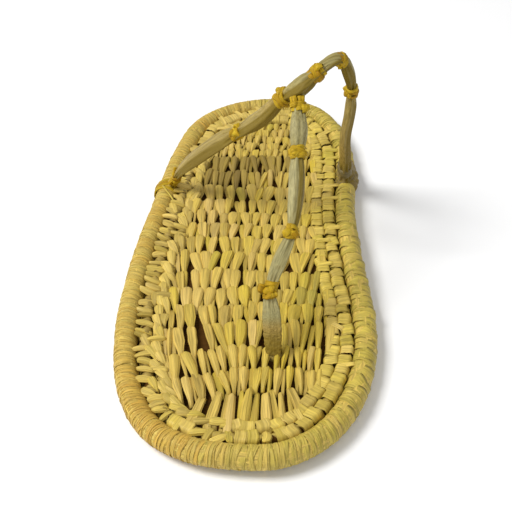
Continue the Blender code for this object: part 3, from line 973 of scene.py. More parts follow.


# Grey-brown rows and patches on the field, near the heel on the outer side
GREY_BROWN_ROW = Patch(0.85, y=0.064, y_reach=0.0062)
GREY_BROWN_PATCHES = [Patch(1.3, -0.024, 0.016, 0.051, 0.0065), Patch(0.7, -0.036, 0.008, 0.042, 0.007)]
FIELD_TINTS = [
    Patch(-0.12, y=-0.090, y_reach=0.03), Patch(-0.14, x=-0.035, x_reach=0.02),
    Patch(0.50, 0.026, 0.009, -0.028, 0.018), Patch(0.22, 0.012, 0.012, -0.074, 0.012),
]
TOE_END = Patch(1.0, y=-0.11, y_reach=0.02)
TOE_CORNER = Patch(0.36, -0.030, 0.030, -0.105, 0.030)


@dataclass
class SoleField:
    """The sewn field: dark leaf bundles in rows, and the strips that sew them."""

    shop: Workshop
    seed: int = 21
    reach: float = 1.42
    long_reach: float = 1.24
    under_reach: float = 1.14
    strip_width: float = 0.90
    long_wider: float = 0.06
    toe_narrower: float = 0.12
    heel_pitch: float = 0.0038
    heel_from: float = 0.29
    dense_pitch: float = 0.0032
    loose_pitch: float = 0.0050
    toe_pitch: float = 0.0045
    fan_pitch: float = 0.0062
    fan_width: float = 0.0043
    fan: float = 26.0
    fan_stray: float = 5.0
    fan_middle: float = 0.002
    fan_half: float = 0.030
    fan_reach: float = 1.12
    fan_shorter: float = 0.16
    least_lean: float = 2.0
    stray: float = 6.5
    toe_stray: float = 4.0
    against: float = 0.14
    against_lean: float = -14.0
    shift: float = 0.00055
    below_shift: float = 0.0008
    below_width: tuple = (0.5, 0.8)
    below_depth: float = 0.6
    bundle_share: float = 0.53
    base_inset: float = 1.7
    even_tint: float = 0.42
    bright: tuple = (0.06, 0.35)
    dull: tuple = (0.08, 0.30)
    tint_stray: float = 0.12
    under_stain: float = 0.12
    crown: float = 0.0005
    depth: float = 0.0032
    long_depth: float = 0.0036
    lower_by: float = 0.0012
    under_depth: float = 0.0011
    long_from: float = -0.030
    least_row: float = 0.012
    bare: float = 0.15
    knot_gap: float = 0.0085
    bundle_height: float = 0.0027
    bundle_radius: float = 0.0020
    base_levels: tuple = (0.0024, 0.0036)

    def rows(self, share: float, inset: float) -> Iterator[tuple]:
        """Rows that are wide enough to sew.

        Args:
            share: share of a row's step, past its line, at which its span is measured.
            inset: way in from the outline to the ends of the span.

        Yields:
            The row's number, the row, the one that follows, and the ends of its span.
        """
        for number, (row, following) in enumerate(zip(SEWING_ROWS, SEWING_ROWS[1:])):
            step = (row[0] - following[0]) * SIZES.length
            low, high = OUTLINE_CURVE.row_span(row, -step * share, inset)
            if high - low > self.least_row:
                yield number, row, following, low, high

    def stain(self, x: float, y: float) -> float:
        """How grey-brown the leaf is: two rows near the heel, on the outer side."""
        first = GREY_BROWN_ROW.at(x, y) * (1 - smooth_step((x - 0.004) / 0.016))
        return float(min(1.0, first + sum(patch.at(x, y) for patch in GREY_BROWN_PATCHES)))

    def tint(self, rng: np.random.Generator, x: float, y: float) -> float:
        """Colour note of a strip: pale on the outer side, brighter at the toe and middle."""
        base = self.even_tint + sum(patch.at(x, y) for patch in FIELD_TINTS)
        for (share, strength), sign in ((self.bright, 1), (self.dull, -1)):
            base += sign * strength * (rng.random() < share)
        return base + rng.normal(0, self.tint_stray)

    def bundles(self) -> None:
        """Lay the dark bundle of every row, on a flat base; their dark brown is partly the leaf's own
        and partly painted shade for the gaps between strips.
        """
        shell = Shell()
        for _, row, following, low, high in self.rows(0.5, SIZES.inner_inset + 0.003):
            rings = []
            for x in np.linspace(low, high, 20):
                head, tail = row_line(row, x), row_line(following, x)
                y = (head + tail) / 2
                centre = np.array([x, y, self.bundle_height + lift(y)])
                rings.append(oval(centre, ALONG, UP, (head - tail) * self.bundle_share,
                                  self.bundle_radius, 10))
            shell.tube(np.array(rings))
        around = np.linspace(0, OUTLINE_CURVE.length, 180, endpoint=False)
        inset = SIZES.rim_radius * self.base_inset
        shell.tube(np.array([OUTLINE_CURVE.inside(around, inset, height)
                             for height in self.base_levels]))
        self.shop.shaped("field_bundles", shell, "bundle")

    def strip(self, plan: Plan, head: np.ndarray, tail: np.ndarray, width: float, depth: float,
              tint: float, stain: float, side: Side = Side.TOP, lower: float = 0.0) -> None:
        """Plan a strip from its head to its tail on one face of the sole."""
        way = np.append(head - tail, 0.0)
        length = np.linalg.norm(way)
        x, y = (head + tail) / 2
        base = SIZES.field_height + self.crown - lower if side is Side.TOP else 0.0
        way /= length
        slope = (lift(head[1]) - lift(tail[1])) / length
        plan.add(np.array([x, y, base + lift(y)]), np.cross(way, UP) * side.value,
                 way + UP * slope, (width, length, depth), tint, stain)

    def lean(self, rng: np.random.Generator, row: tuple[float, float], x: float,
             last: bool) -> float:
        """Lean of a strip in degrees, positive with its tail towards the inner side."""
        if last:
            share = float(np.clip((x - self.fan_middle) / self.fan_half, -1, 1))
            return self.fan * share + rng.normal(0, self.fan_stray)
        outer = float(smooth_step((0.010 - x) / 0.020))
        middle = self.least_lean + (row[1] - self.least_lean) * outer
        if x < -0.008 and row[0] < -0.28 and rng.random() < self.against:
            return self.against_lean
        return middle + rng.normal(0, self.toe_stray if row[0] < -0.10 else self.stray)

    def pitch(self, row: tuple[float, float], last: bool) -> float:
        """Distance between the strips of a row."""
        if last:
            return self.fan_pitch
        place = row[0] * SIZES.length
        loose = smooth_step((0.062 - place) / 0.014)
        middle = self.loose_pitch + (self.toe_pitch - self.loose_pitch) * self.toe_share(place)
        heel = self.heel_pitch if row[0] > self.heel_from else self.dense_pitch
        return heel + (middle - heel) * loose

    def toe_share(self, place: float) -> float:
        """How much a row belongs to the toe, where the strips are finer."""
        return float(smooth_step((-0.035 - place) / 0.02))

    def top(self) -> None:
        """Sew the rows on top of the sole, over a lower layer that shows in their gaps."""
        rng = np.random.default_rng(self.seed)
        short, long, slats = Plan(), Plan(), Plan()
        hole_x, hole_y, _ = STRAPS.hole
        by_hole = Patch(0.30, hole_x + 0.007, 0.009, hole_y, 0.012)
        for number, row, following, low, high in self.rows(0.35, SIZES.field_inset - 0.0014):
            last = number == len(SEWING_ROWS) - 2
            spread = self.pitch(row, last)
            count = int((high - low) / spread)
            start = (low + high) / 2 - spread * (count - 1) / 2 + (number % 2 - 0.5) * spread / 2
            is_long = row[0] * SIZES.length < self.long_from
            plan = (slats if last else long) if is_long else short
            depth = self.long_depth if is_long else self.depth
            share = self.long_reach if is_long else self.reach
            for column in np.arange(-0.5, count + 1, 0.5):
                below = bool(column % 1)
                x = start + column * spread + rng.normal(0, self.below_shift if below else self.shift)
                angle = math.radians(self.lean(rng, row, x, last))
                top = float(row_line(row, x))
                step = top - float(row_line(following, x))
                tint = self.tint(rng, x, top)
                stain = self.stain(x, top - step / 2) * rng.uniform(0.55, 1.0)
                stain = max(stain, 0.40 * (rng.random() < 0.08) * rng.random())
                narrow = self.toe_narrower * self.toe_share(top) + by_hole.at(x, top - step / 2)
                width = spread * (self.strip_width + self.long_wider * is_long - narrow)
                width *= rng.normal(1, 0.13)
                chance = rng.random()
                if not low - 0.0008 < x < high + 0.0008:
                    continue
                reach = step * share * rng.normal(1, 0.05) / math.cos(angle)
                if last:
                    reach = step * (self.fan_reach - self.fan_shorter * abs(x / self.fan_half))
                    width = self.fan_width * rng.normal(1, 0.12)
                head = np.array([x - math.tan(angle) * step * 0.2, top + rng.normal(0, 0.0007)])
                tail = head - reach * np.array([-math.sin(angle), math.cos(angle)])
                if not below:
                    self.strip(plan, head, tail, width, depth * rng.normal(1, 0.10), tint, stain)
                elif rng.random() >= self.bare * smooth_step((self.long_from - top) / 0.020):
                    # the lower strips show only in the gaps of the upper ones; their extra darkening is
                    # painted shade
                    self.strip(plan, head, tail, width * rng.uniform(*self.below_width),
                               depth * self.below_depth, tint, max(stain, 0.05 + 0.35 * chance),
                               lower=self.lower_by)
        self.shop.sewn("field_stitches_heel", short, "petal", "field", 31, 0.09, "sole_field")
        self.shop.sewn("field_stitches_toe", long, "plank", "field", 32, 0.06)
        self.shop.sewn("field_slats_toe", slats, "slat", "field", 34, 0.06)

    def underside(self) -> None:
        """Sew the flatter rows under the sole."""
        rng = np.random.default_rng(self.seed + 1)
        plan = Plan()
        pitch = SIZES.stitch_pitch
        for number, row, following, low, high in self.rows(0.5, SIZES.field_inset - 0.0015):
            for x in np.arange(low + (number % 2) * pitch / 2, high, pitch):
                line = float(row_line(row, x))
                step = line - float(row_line(following, x))
                head = np.array([x, line + step * 0.04])
                tail = head + np.array([rng.normal(0, 0.0005), -step * self.under_reach])
                width, tint = pitch * rng.normal(1.0, 0.05), 0.4 + rng.normal(0, 0.12)
                if np.linalg.norm((head + tail) / 2 - STRAPS.hole[:2]) > self.knot_gap:
                    self.strip(plan, head, tail, width, self.under_depth, tint,
                               self.under_stain, Side.UNDER)
        self.shop.sewn("field_stitches_under", plan, "flat", "field", 33, 0.0)

    def make(self) -> None:
        """Make the field."""
        self.bundles()
        self.top()
        self.underside()


def core_shell(line: Line, half_across: float, half_up: float) -> Shell:
    """A closed tube that follows a line round the sole."""
    rings = []
    for distance in np.linspace(0, line.length, CORE_SECTIONS, endpoint=False):
        point, _, inwards = line.frame(distance)
        rings.append(oval(point, inwards, UP, half_across, half_up, CORE_SIDES))
    shell = Shell()
    shell.tube(np.array(rings), closed=True)
    return shell


@dataclass(frozen=True)
class StripSize:
    """Range of a strip's width and of its length, and its height."""

    width: tuple[float, float]
    length: tuple[float, float]
    height: float

    def draw(self, rng: np.random.Generator) -> tuple[float, float, float]:
        """One strip's size."""
        return rng.uniform(*self.width), rng.uniform(*self.length), self.height


@dataclass
class SoleCoils:
    """The inner and middle coils: wrapped cores, sewn to each other with broader strips."""

    shop: Workshop
    seed: int = 41
    wrap_pitch: float = 0.0034
    brick_pitch: float = 0.0056
    brick_height: float = 0.0024
    loose_pitch: float = 0.0033
    bar_pitch: float = 0.0040
    bars: float = 0.28
    core: float = 0.84
    tint_at: tuple = (0.60, 0.30)
    tint_stray: float = 0.14
    tongue: StripSize = StripSize((0.0033, 0.0046), (0.0080, 0.0110), 0.0027)
    fin: StripSize = StripSize((0.0026, 0.0040), (0.0064, 0.0080), 0.0029)
    bar: StripSize = StripSize((0.0022, 0.0032), (1.4, 2.0), 0.0021)

    def tint(self, rng: np.random.Generator, point: np.ndarray) -> float:
        """Colour note: beige on the outer side, yellower on the inner side and at the toe."""
        outer = smooth_step((0.02 - point[0]) / 0.05) * (1 - TOE_END.at(point[0], point[1]))
        inner_tint, fall = self.tint_at
        return inner_tint - fall * outer + rng.normal(0, self.tint_stray)

    def outer_share(self, point: np.ndarray) -> float:
        """How much a place belongs to the outer side, where the strips lie loosely."""
        side = float(smooth_step((0.006 - point[0]) / 0.012))
        heel = float(smooth_step((point[1] - 0.066) / 0.014))
        toe = float(smooth_step((-0.100 - point[1]) / 0.008))
        return side * (1 - heel) * (1 - 0.75 * toe) + 0.25 * toe

    def coil(self, name: str, inset: float, width: float, height: float, phase: float,
             along: float) -> None:
        """Make one coil.

        Args:
            name: the solid that it stands for.
            inset: way in from the outline to its outer side.
            width: its width.
            height: its height.
            phase: shift of its strips, in shares of their pitch.
            along: share of its loose strips that lie along it, on the outer side.
        """
        rng = np.random.default_rng(self.seed + round(phase * 10))
        line = Line(inset + width / 2, height / 2)
        half_width, half_height = width / 2 + 0.0001, height / 2
        core = core_shell(line, half_width * self.core, half_height * self.core)
        # the core shows in the gaps between the wraps, its dark finish partly painted shade
        self.shop.shaped(f"{name}_core", core, "bundle")
        plans = {form: Plan() for form in ("wrap", "brick", "fin", "petal")}
        count = round(line.length / self.wrap_pitch)
        for i in range(count):
            point, forward, inwards = line.frame(i * line.length / count)
            size = (half_width, self.wrap_pitch * rng.uniform(0.9, 1.15), half_height * 0.96)
            lean = forward + inwards * rng.uniform(-0.2, 0.2)
            # the wraps show only between the strips sewn over them; their lower tint and darkening are
            # painted shade, deeper on the outer side
            plans["wrap"].add(point - UP * half_height * 0.04, -inwards, lean, size,
                              self.tint(rng, point) - 0.05,
                              0.3 + 0.3 * rng.random() + 0.25 * self.outer_share(point))
        distance = phase * self.brick_pitch
        while distance < line.length:
            point, forward, inwards = line.frame(distance + rng.normal(0, 0.0003))
            top = point + UP * (half_height + rng.uniform(0.0, 0.0005))
            tint, stain = self.tint(rng, point), 0.40 * rng.random() ** 2
            if rng.random() < self.outer_share(point):
                lies_along = rng.random() < along
                pitch = (self.loose_pitch if lies_along else self.bar_pitch) * rng.uniform(0.75, 1.2)
                if lies_along:
                    way = -forward - inwards * rng.normal(0.35, 0.30)
                    size = self.tongue.draw(rng)
                    shift = inwards * rng.normal(0.0, 0.0010) + UP * rng.uniform(-0.0003, 0.0003)
                else:
                    way = -inwards + forward * rng.normal(0, 0.20)
                    size = self.fin.draw(rng)
                    shift = inwards * rng.normal(-0.0009, 0.0006) + UP * rng.uniform(0.0, 0.0008)
                plans["petal" if lies_along else "fin"].add(top + shift, np.cross(way, UP), way,
                                                            size, tint, stain)
            else:
                pitch = self.brick_pitch * rng.uniform(0.80, 1.12)
                way = inwards + forward * rng.normal(0, 0.10)
                top = top + inwards * rng.normal(0, 0.00035)
                size = (pitch * rng.uniform(0.93, 1.02), width * rng.uniform(1.08, 1.24),
                        self.brick_height * rng.uniform(0.85, 1.15))
                plans["brick"].add(top, forward, way, size, tint, stain)
                if rng.random() < self.bars:
                    way = inwards + forward * rng.normal(0, 0.30)
                    size = np.array(self.bar.draw(rng)) * (1.0, width, 1.0)
                    place = top + forward * pitch / 2 + UP * 0.0003 - inwards * width * 0.3
                    plans["brick"].add(place, forward, way, size, tint - 0.05)
            distance += pitch
        self.shop.sewn(f"{name}_wraps", plans["wrap"], "wrap", "coil", self.seed + 1, 0.03, name)
        for add, form, word, jitter in ((2, "brick", "bricks", 0.06), (3, "fin", "fins", 0.12),
                                        (4, "petal", "tongues", 0.12)):
            self.shop.sewn(f"{name}_{word}", plans[form], form, "coil", self.seed + add, jitter)

    def make(self) -> None:
        """Make both coils."""
        self.coil("inner_coil", SIZES.inner_inset, SIZES.inner_width, SIZES.inner_height,
                  0.0, 0.85)
        self.coil("middle_coil", SIZES.middle_inset, SIZES.middle_width, SIZES.middle_height,
                  0.5, 0.14)


@dataclass
class RimCoil:
    """The thick rim, wound tightly with fine strips outside and broader ones inside."""

    shop: Workshop
    seed: int = 61
    core: float = 0.945
    fine: float = 0.0013
    broad: float = 0.0048
    crossing: float = 0.0014
    overlap: float = 1.35
    lean: float = -0.17
    stray_broad: float = 0.04
    crossings: float = 0.25
    tint_at: tuple = (0.16, 0.40)
    tint_stray: float = 0.10

    def tint(self, rng: np.random.Generator, x: float, y: float) -> float:
        """Colour note: green-yellow on the inner side, gold outside, deepest at the toe corner."""
        outer = float(smooth_step((0.035 - x) / 0.075))
        inner_tint, rise = self.tint_at
        tint = inner_tint + rise * outer + TOE_CORNER.at(x, y)
        return tint + rng.normal(0, self.tint_stray)

    def make(self) -> None:
        """Make the rim."""
        rng = np.random.default_rng(self.seed)
        radius = SIZES.rim_radius
        line = Line(radius, radius)
        core = core_shell(line, radius * self.core, radius * self.core)
        self.shop.shaped("rim_core", core, "rim")
        fine, broad = Plan(), Plan()
        distance = 0.0
        while distance < line.length:
            point, forward, inwards = line.frame(distance)
            x, y, _ = point
            inner = float(smooth_step((x - 0.022) / 0.015)) * (1 - TOE_END.at(x, y))
            wide = rng.random() < self.stray_broad + (1 - self.stray_broad) * inner
            width = self.broad * (0.55 + 0.45 * inner) if wide else self.fine
            width *= rng.uniform(0.65, 1.30)
            lean = forward + inwards * rng.normal(self.lean, 0.07) + UP * rng.normal(0, 0.04)
            grow = radius * rng.uniform(0.98 if wide else 0.978, 1.0)
            tint = self.tint(rng, x, y)
            size = (grow, width * self.overlap, grow)
            (broad if wide else fine).add(point, -inwards, lean, size, tint, 0.12 * rng.random())
            if wide and rng.random() < self.crossings:
                lean = forward + inwards * rng.normal(-0.15, 0.22)
                fine.add(point + forward * width / 2, -inwards, lean,
                         (radius, self.crossing, radius), tint)
            distance += width
        self.shop.sewn("rim_wraps", fine, "wrap", "rim", self.seed + 1, 0.02, "rim_coil")
        self.shop.sewn("rim_broad_wraps", broad, "lump", "rim", self.seed + 2, 0.02)


@dataclass(frozen=True)
class Tie:
    """A tie: its solid's name, place along the strap, length and wall as shares, and turns."""

    name: str
    place: float
    length: float
    wall: float
    turns: int = 3
    knots_on: Side = Side.TOP


BACK_STRAP_TIES = [
    Tie("tie_lateral_anchor", 0.030, 1.00, 1.00, 3),
    Tie("tie_lateral_arm", 0.268, 0.80, 0.75, 2),
    Tie("tie_junction_lateral", 0.424, 1.10, 1.45, 4),
    Tie("tie_junction_medial", 0.516, 1.00, 1.00, 3),
    Tie("tie_crown", 0.578, 0.70, 0.34, 2, Side.UNDER),
    Tie("tie_medial_arm", 0.687, 0.95, 1.20, 3),
    Tie("tie_medial_anchor", 0.965, 1.00, 0.70, 2, Side.UNDER),
]
THONG_TIES = [
    Tie("tie_thong_low", 0.236, 1.10, 1.10, 3),
    Tie("tie_thong_middle", 0.461, 1.00, 1.00, 3),
    Tie("tie_thong_upper", 0.759, 0.95, 1.00, 3),
    Tie("tie_thong_top", 0.936, 0.80, 1.35, 3),
]

# Fullness and colour note along each strap: place, share of its width, note
BACK_STRAP_FORM = [
    (0.00, 0.84, 0.50), (0.06, 0.98, 0.46), (0.13, 1.24, 0.44), (0.22, 1.34, 0.44),
    (0.34, 1.36, 0.42), (0.40, 1.16, 0.50), (0.45, 1.34, 0.36), (0.49, 1.45, 0.30),
    (0.54, 1.20, 0.28), (0.60, 1.20, 0.30), (0.66, 1.10, 0.36), (0.74, 1.08, 0.42),
    (0.85, 1.12, 0.46), (0.925, 1.20, 0.62), (0.95, 1.65, 0.86), (1.00, 1.85, 0.94),
]
THONG_FORM = [
    (0.00, 0.70, 0.78), (0.03, 0.78, 0.74), (0.07, 0.88, 0.68), (0.11, 0.92, 0.45),
    (0.15, 0.94, 0.18), (0.22, 0.94, 0.12), (0.34, 1.00, 0.18), (0.46, 1.00, 0.16),
    (0.60, 1.04, 0.10), (0.78, 1.00, 0.16), (0.86, 1.10, 0.08), (1.00, 1.05, 0.28),
]

# Flat knot and foot of the thong: height in metres, then shares of the thong's half sizes
KNOT_LEVELS = [
    (0.0004, 0.9, 0.9), (0.0006, 1.35, 1.5), (0.0014, 1.42, 1.58), (0.0022, 1.35, 1.5),
    (0.0026, 0.80, 0.85), (0.005, 0.78, 0.80), (0.0072, 0.76, 0.78),
]

# Loose strand over the rim: metres along it, degrees round it, millimetres off it
LOOSE_STRAND = [
    (-0.0020, 112, 0.2), (0.0002, 96, 0.4), (0.0026, 78, 0.4),
    (0.0050, 56, 0.6), (0.0074, 34, 1.2), (0.0094, 14, 1.6),
]

# Sections of the straps: shares of the sole's width, its length and the arch's height,
# then of the strap's own width and thickness
BACK_STRAP_ROWS = [
    (-0.367, 0.138, 0.226, 1.00, 0.90), (-0.221, 0.119, 0.425, 1.02, 0.92),
    (-0.105, 0.102, 0.554, 0.98, 0.95), (-0.013, 0.086, 0.667, 0.86, 1.00),
    (0.075, 0.070, 0.811, 0.92, 1.10), (0.134, 0.063, 0.881, 1.00, 1.15),
    (0.194, 0.068, 0.950, 0.88, 1.05), (0.234, 0.079, 0.987, 0.76, 0.98),
    (0.278, 0.093, 0.997, 0.76, 0.98), (0.313, 0.112, 0.905, 0.76, 0.95),
    (0.331, 0.132, 0.774, 0.68, 0.92), (0.327, 0.152, 0.608, 0.68, 0.90),
    (0.317, 0.173, 0.442, 0.72, 0.90), (0.322, 0.197, 0.259, 0.80, 0.90),
]
THONG_ROWS = [
    (0.117, -0.254, 0.188, 0.98, 1.00), (0.106, -0.233, 0.256, 0.92, 1.05),
    (0.097, -0.212, 0.316, 0.80, 1.05), (0.120, -0.172, 0.384, 0.84, 1.00),
    (0.154, -0.133, 0.470, 0.76, 1.00), (0.163, -0.089, 0.590, 0.80, 1.00),
    (0.153, -0.031, 0.707, 0.96, 1.05), (0.146, 0.014, 0.797, 0.92, 1.05),
    (0.133, 0.058, 0.873, 0.80, 0.96),
]


@dataclass(frozen=True)
class StrapSizes:
    """Sizes of the upper, in metres, and shares of the sole's sizes."""

    arch_height: float = 0.0925
    width: float = 0.0086
    thickness: float = 0.0058
    thong_width: float = 0.0083
    thong_thickness: float = 0.0052
    eye_width: float = 0.0090
    eye_wall: float = 0.0012
    end_width: float = 0.92
    end_thickness: float = 0.80
    tie_length: float = 0.0056
    tie_wall: float = 0.0011
    lateral_along: float = 0.149
    medial_along: float = 0.220
    hole_across: float = 0.0139
    hole_along: float = -0.268

    def rows(self, table: list, width: float, thickness: float) -> np.ndarray:
        """A strap table in metres."""
        size = [SIZES.width, SIZES.length, self.arch_height, width, thickness]
        return np.array(table) * np.array(size)

    @property
    def hole(self) -> np.ndarray:
        """Where the thong goes through the sole."""
        return np.array([self.hole_across, self.hole_along * SIZES.length, 0.0])


STRAPS = StrapSizes()


@dataclass
class LeafStrap:
    """A strap of leaf folded lengthwise, gathered where its ties hold it."""

    curve: Curve
    width_way: np.ndarray
    ties: list[Tie]
    form: list[tuple]
    seed: int
    sides: int = 52
    step: float = 0.0009
    facets: int = 5
    facet_turn: float = 0.34
    facet_reach: tuple = (0.74, 0.93)
    facet_tone: float = 0.14
    furthest: float = 1.06
    sharpness: int = 26
    creases: int = 9
    pinch: float = 0.27
    pinch_reach: float = 0.0042
    pleat: float = 0.085
    pleat_reach: float = 0.0030
    # The first setting below is a span of the strap whose +x side, away from the light, is painted in
    # shade; turned, shade_from and deepest set which side of the strap is painted in shade and how
    # deep.
    painted_shade_side: tuple = ()
    turned: float = 1.0
    crumpled: float = 0.0
    shade_from: tuple = (0.0, 0.69, 0.73)
    deepest: float = 0.92
    knot_width: tuple = (0.0027, 0.0040)
    knot_length: tuple = (0.0036, 0.0054)
    knot_height: float = 0.0024

    def frame(self, distance: float) -> tuple[np.ndarray, np.ndarray, np.ndarray, np.ndarray]:
        """Centre and sizes, direction, width way and thickness way at a distance."""
        reach = 0.0016
        first, last = max(distance - reach, 0.0), min(distance + reach, self.curve.length)
        forward = unit(self.curve.at(last)[:3] - self.curve.at(first)[:3])
        across = unit(self.width_way - forward * np.dot(self.width_way, forward))
        row = self.curve.at(distance)
        row[3:] *= self.formed(distance, 1)
        return row, forward, across, np.cross(forward, across)

    def formed(self, distance: np.ndarray, column: int) -> np.ndarray:
        """Fullness (column 1) or colour note (column 2) at a distance."""
        table = np.array(self.form)
        return np.interp(distance / self.curve.length, table[:, 0], table[:, column])

    def folds(self, rng: np.random.Generator, distances: np.ndarray,
              angle: np.ndarray) -> tuple[np.ndarray, np.ndarray]:
        """Reach of one length of folded leaf between two ties, and its darkness: a random tone for each
        facet and painted shade along its creases.
        """
        spread = 2 * math.pi / self.facets
        normals = np.arange(self.facets) * spread + rng.uniform(-1, 1, self.facets) * self.facet_turn
        offsets = rng.uniform(*self.facet_reach, self.facets)
        tones = rng.uniform(0.0, self.facet_tone, self.facets)
        turn = rng.uniform(-1.0, 1.0) * (distances / self.curve.length - 0.5)
        sway = 0.10 * np.sin(distances / 0.007 + rng.uniform(0, 6))
        facing = np.cos(angle[None, :, None] - normals - (turn + sway)[:, None, None])
        reach = (np.maximum(facing, 0.0) / offsets) ** self.sharpness
        shape = np.minimum(reach.sum(axis=2) ** (-1 / self.sharpness), self.furthest)
        tone = (reach * tones).sum(axis=2) / reach.sum(axis=2)
        for _ in range(self.creases):
            sway = rng.uniform(-0.35, 0.35) * np.sin(distances / 0.011 + rng.uniform(0, 6))
            off = np.angle(np.exp(1j * (angle[None] - rng.uniform(0, 6.3) - sway[:, None])))
            groove = np.exp(-((off / rng.uniform(0.07, 0.15)) ** 2))
            shape -= rng.uniform(0.03, 0.10) * groove
            # painted shade along each crease
            tone += rng.uniform(0.05, 0.26) * groove
        return shape, tone

    def surface(self, distances: np.ndarray) -> tuple[np.ndarray, np.ndarray]:
        """Reach of the surface as shares of the half sizes, and how dark it is, mostly painted shade.

        Args:
            distances: places of the sections along the strap.

        Returns:
            One row for each section and one column for each side, twice.
        """
        rng = np.random.default_rng(self.seed)
        angle = round_angles(self.sides)
        marks = np.array([tie.place * self.curve.length for tie in self.ties])
        halves = np.array([tie.length * STRAPS.tie_length / 2 for tie in self.ties])
        edges = np.concatenate([[-1.0], marks, [self.curve.length + 1.0]])
        # the darkness gathered here is a random tone for each facet plus painted shade
        reach, tint, total = 0.0, 0.0, 0.0
        for low, high in zip(edges, edges[1:]):
            shape, tone = self.folds(rng, distances, angle)
            inside = (smooth_step((distances - low) / 0.002 + 0.5)
                      * smooth_step((high - distances) / 0.002 + 0.5))[:, None]
            reach = reach + shape * inside
            tint = tint + tone * inside
            total = total + inside
        reach, tint = reach / total, tint / total
        for mark, half in zip(marks, halves):
            gap = np.maximum(np.abs(distances - mark) - half, 0.0)[:, None]
            reach *= 1 - self.pinch * np.exp(-((gap / self.pinch_reach) ** 1.4))
            count = int(rng.integers(7, 11))
            wave = np.cos(count * angle + rng.uniform(0, 6) + 0.6 * np.sin(2 * angle))
            fade = np.exp(-(((gap - 0.0012) / self.pleat_reach) ** 2))
            reach += self.pleat * fade * wave * rng.uniform(0.6, 1.0)
            # painted shade in the troughs of the pleats
            tint += 0.25 * fade * (wave < 0)
        # Painted shade: over a span of the thong its +x side, away from the light, is darkened.
        if self.painted_shade_side:
            first, last = (share * self.curve.length for share in self.painted_shade_side)
            between = smooth_step((distances - first) / 0.004) * smooth_step((last - distances) / 0.004)
            tint += 0.75 * between[:, None] * smooth_step((np.cos(angle) - 0.16) / 0.16)
        if self.crumpled:
            along = distances[:, None]
            near_end = np.exp(-((along / self.crumpled) ** 4))
            wave = np.sin(along / 0.00045 + 2.2 * np.sin(2 * angle + 1) + 1.4 * np.sin(5 * angle))
            wave = wave * np.sin(along / 0.0021 + angle)
            reach += 0.075 * near_end * wave
            # painted shade in the troughs of the wrinkles
            tint += 0.45 * near_end * np.maximum(-wave, 0.0)
        return reach, tint

    def skin(self, shell: Shell, sunk: float) -> None:
        """Add the strap's surface to a shell, with its first end sunk by a length."""
        distances = np.arange(0.0, self.curve.length, self.step)
        reach, shade = self.surface(distances)
        rings = []
        for distance, share in zip(distances, reach):
            row, _, across, through = self.frame(distance)
            rings.append(oval(row[:3], across, through, share * row[3] / 2, share * row[4] / 2,
                              self.sides))
        forward = self.frame(0.0)[1]
        middle = rings[0].mean(axis=0)
        ends = [middle + (rings[0] - middle) * size - forward * sunk * depth
                for size, depth in ((0.5, 1.0), (0.85, 0.6))]
        rings = np.array(ends + rings)
        shade = np.vstack([shade[:1], shade[:1], shade])
        distances = np.append([0.0, 0.0], distances)
        # Painted shade: the side that faces the toe and the floor, and past the turned share the +x
        # side, is darkened as if lit from the upper left.
        turned = smooth_step((distances / self.curve.length - self.turned) / 0.05)[:, None]
        low = rings @ np.array(self.shade_from) * (1 - turned) - rings[..., 0] * turned
        deep = np.maximum(np.ptp(low, axis=1, keepdims=True), 0.0055)
        under = (low.max(axis=1, keepdims=True) - low) / deep
        shade = np.clip(shade + 0.80 * smooth_step((under - 0.52) / 0.16), 0, self.deepest)
        shell.tube(rings, tint=self.formed(distances, 2)[:, None], stain=shade)

    def bind(self, tie: Tie, turns: Plan, knots: Plan, rng: np.random.Generator) -> None:
        """Plan a tie's turns round the strap, and its knots with short ends.

        Args:
            tie: the tie.
            turns: plan of the turns.
            knots: plan of the knots and ends.
            rng: source of chance.
        """
        middle = tie.place * self.curve.length
        length = tie.length * STRAPS.tie_length
        spacing = length / tie.turns
        keep = 0.98 * (1 - self.pinch)
        wall = STRAPS.tie_wall * tie.wall
        for i in range(tie.turns + 1):
            crossed = i >= tie.turns
            share = 0.1 * rng.normal() if crossed else (i + 0.5) / tie.turns - 0.5
            distance = middle + share * length
            row, forward, across, through = self.frame(np.clip(distance, 0, self.curve.length))
            crown = 1 - (2 * (distance - middle) / length) ** 2
            grow = wall * (0.45 + 0.40 * crown) * rng.uniform(0.8, 1.2) + 0.0003 * crossed
            size = (row[3] / 2 * keep + grow, spacing * rng.uniform(1.1, 1.4),
                    row[4] / 2 * keep + grow)
            slant = 0.45 * rng.choice([-1, 1]) if crossed else 0.0
            lean = forward + across * (slant + rng.normal(0, 0.12)) + through * rng.normal(0, 0.10)
            turns.add(row[:3], across, lean, size, rng.uniform(0.0, 1.0))
        row, forward, across, through = self.frame(middle)
        # knots sit on top, and on a steep strap on its outer side or in front
        facing = through[2] if abs(through[2]) > 0.3 else -through[0] - through[1]
        through = through * np.sign(facing) * tie.knots_on.value
        for _ in range(max(2, round(3 * tie.wall))):
            angle = rng.uniform(0.7, 2.45)
            x_way, z_way = across * math.cos(angle), through * math.sin(angle)
            out = x_way + z_way
            edge = row[:3] + keep * (x_way * row[3] + z_way * row[4]) / 2
            way = forward * rng.choice([-1, 1]) + across * rng.normal(0, 0.8) + out * 0.25
            length = rng.uniform(*self.knot_length)
            place = edge + out * wall * rng.uniform(0.7, 1.2) - forward * rng.normal(0, 0.0010)
            size = (rng.uniform(*self.knot_width), length, self.knot_height)
            knots.add(place, np.cross(way, out), way, size, rng.random())


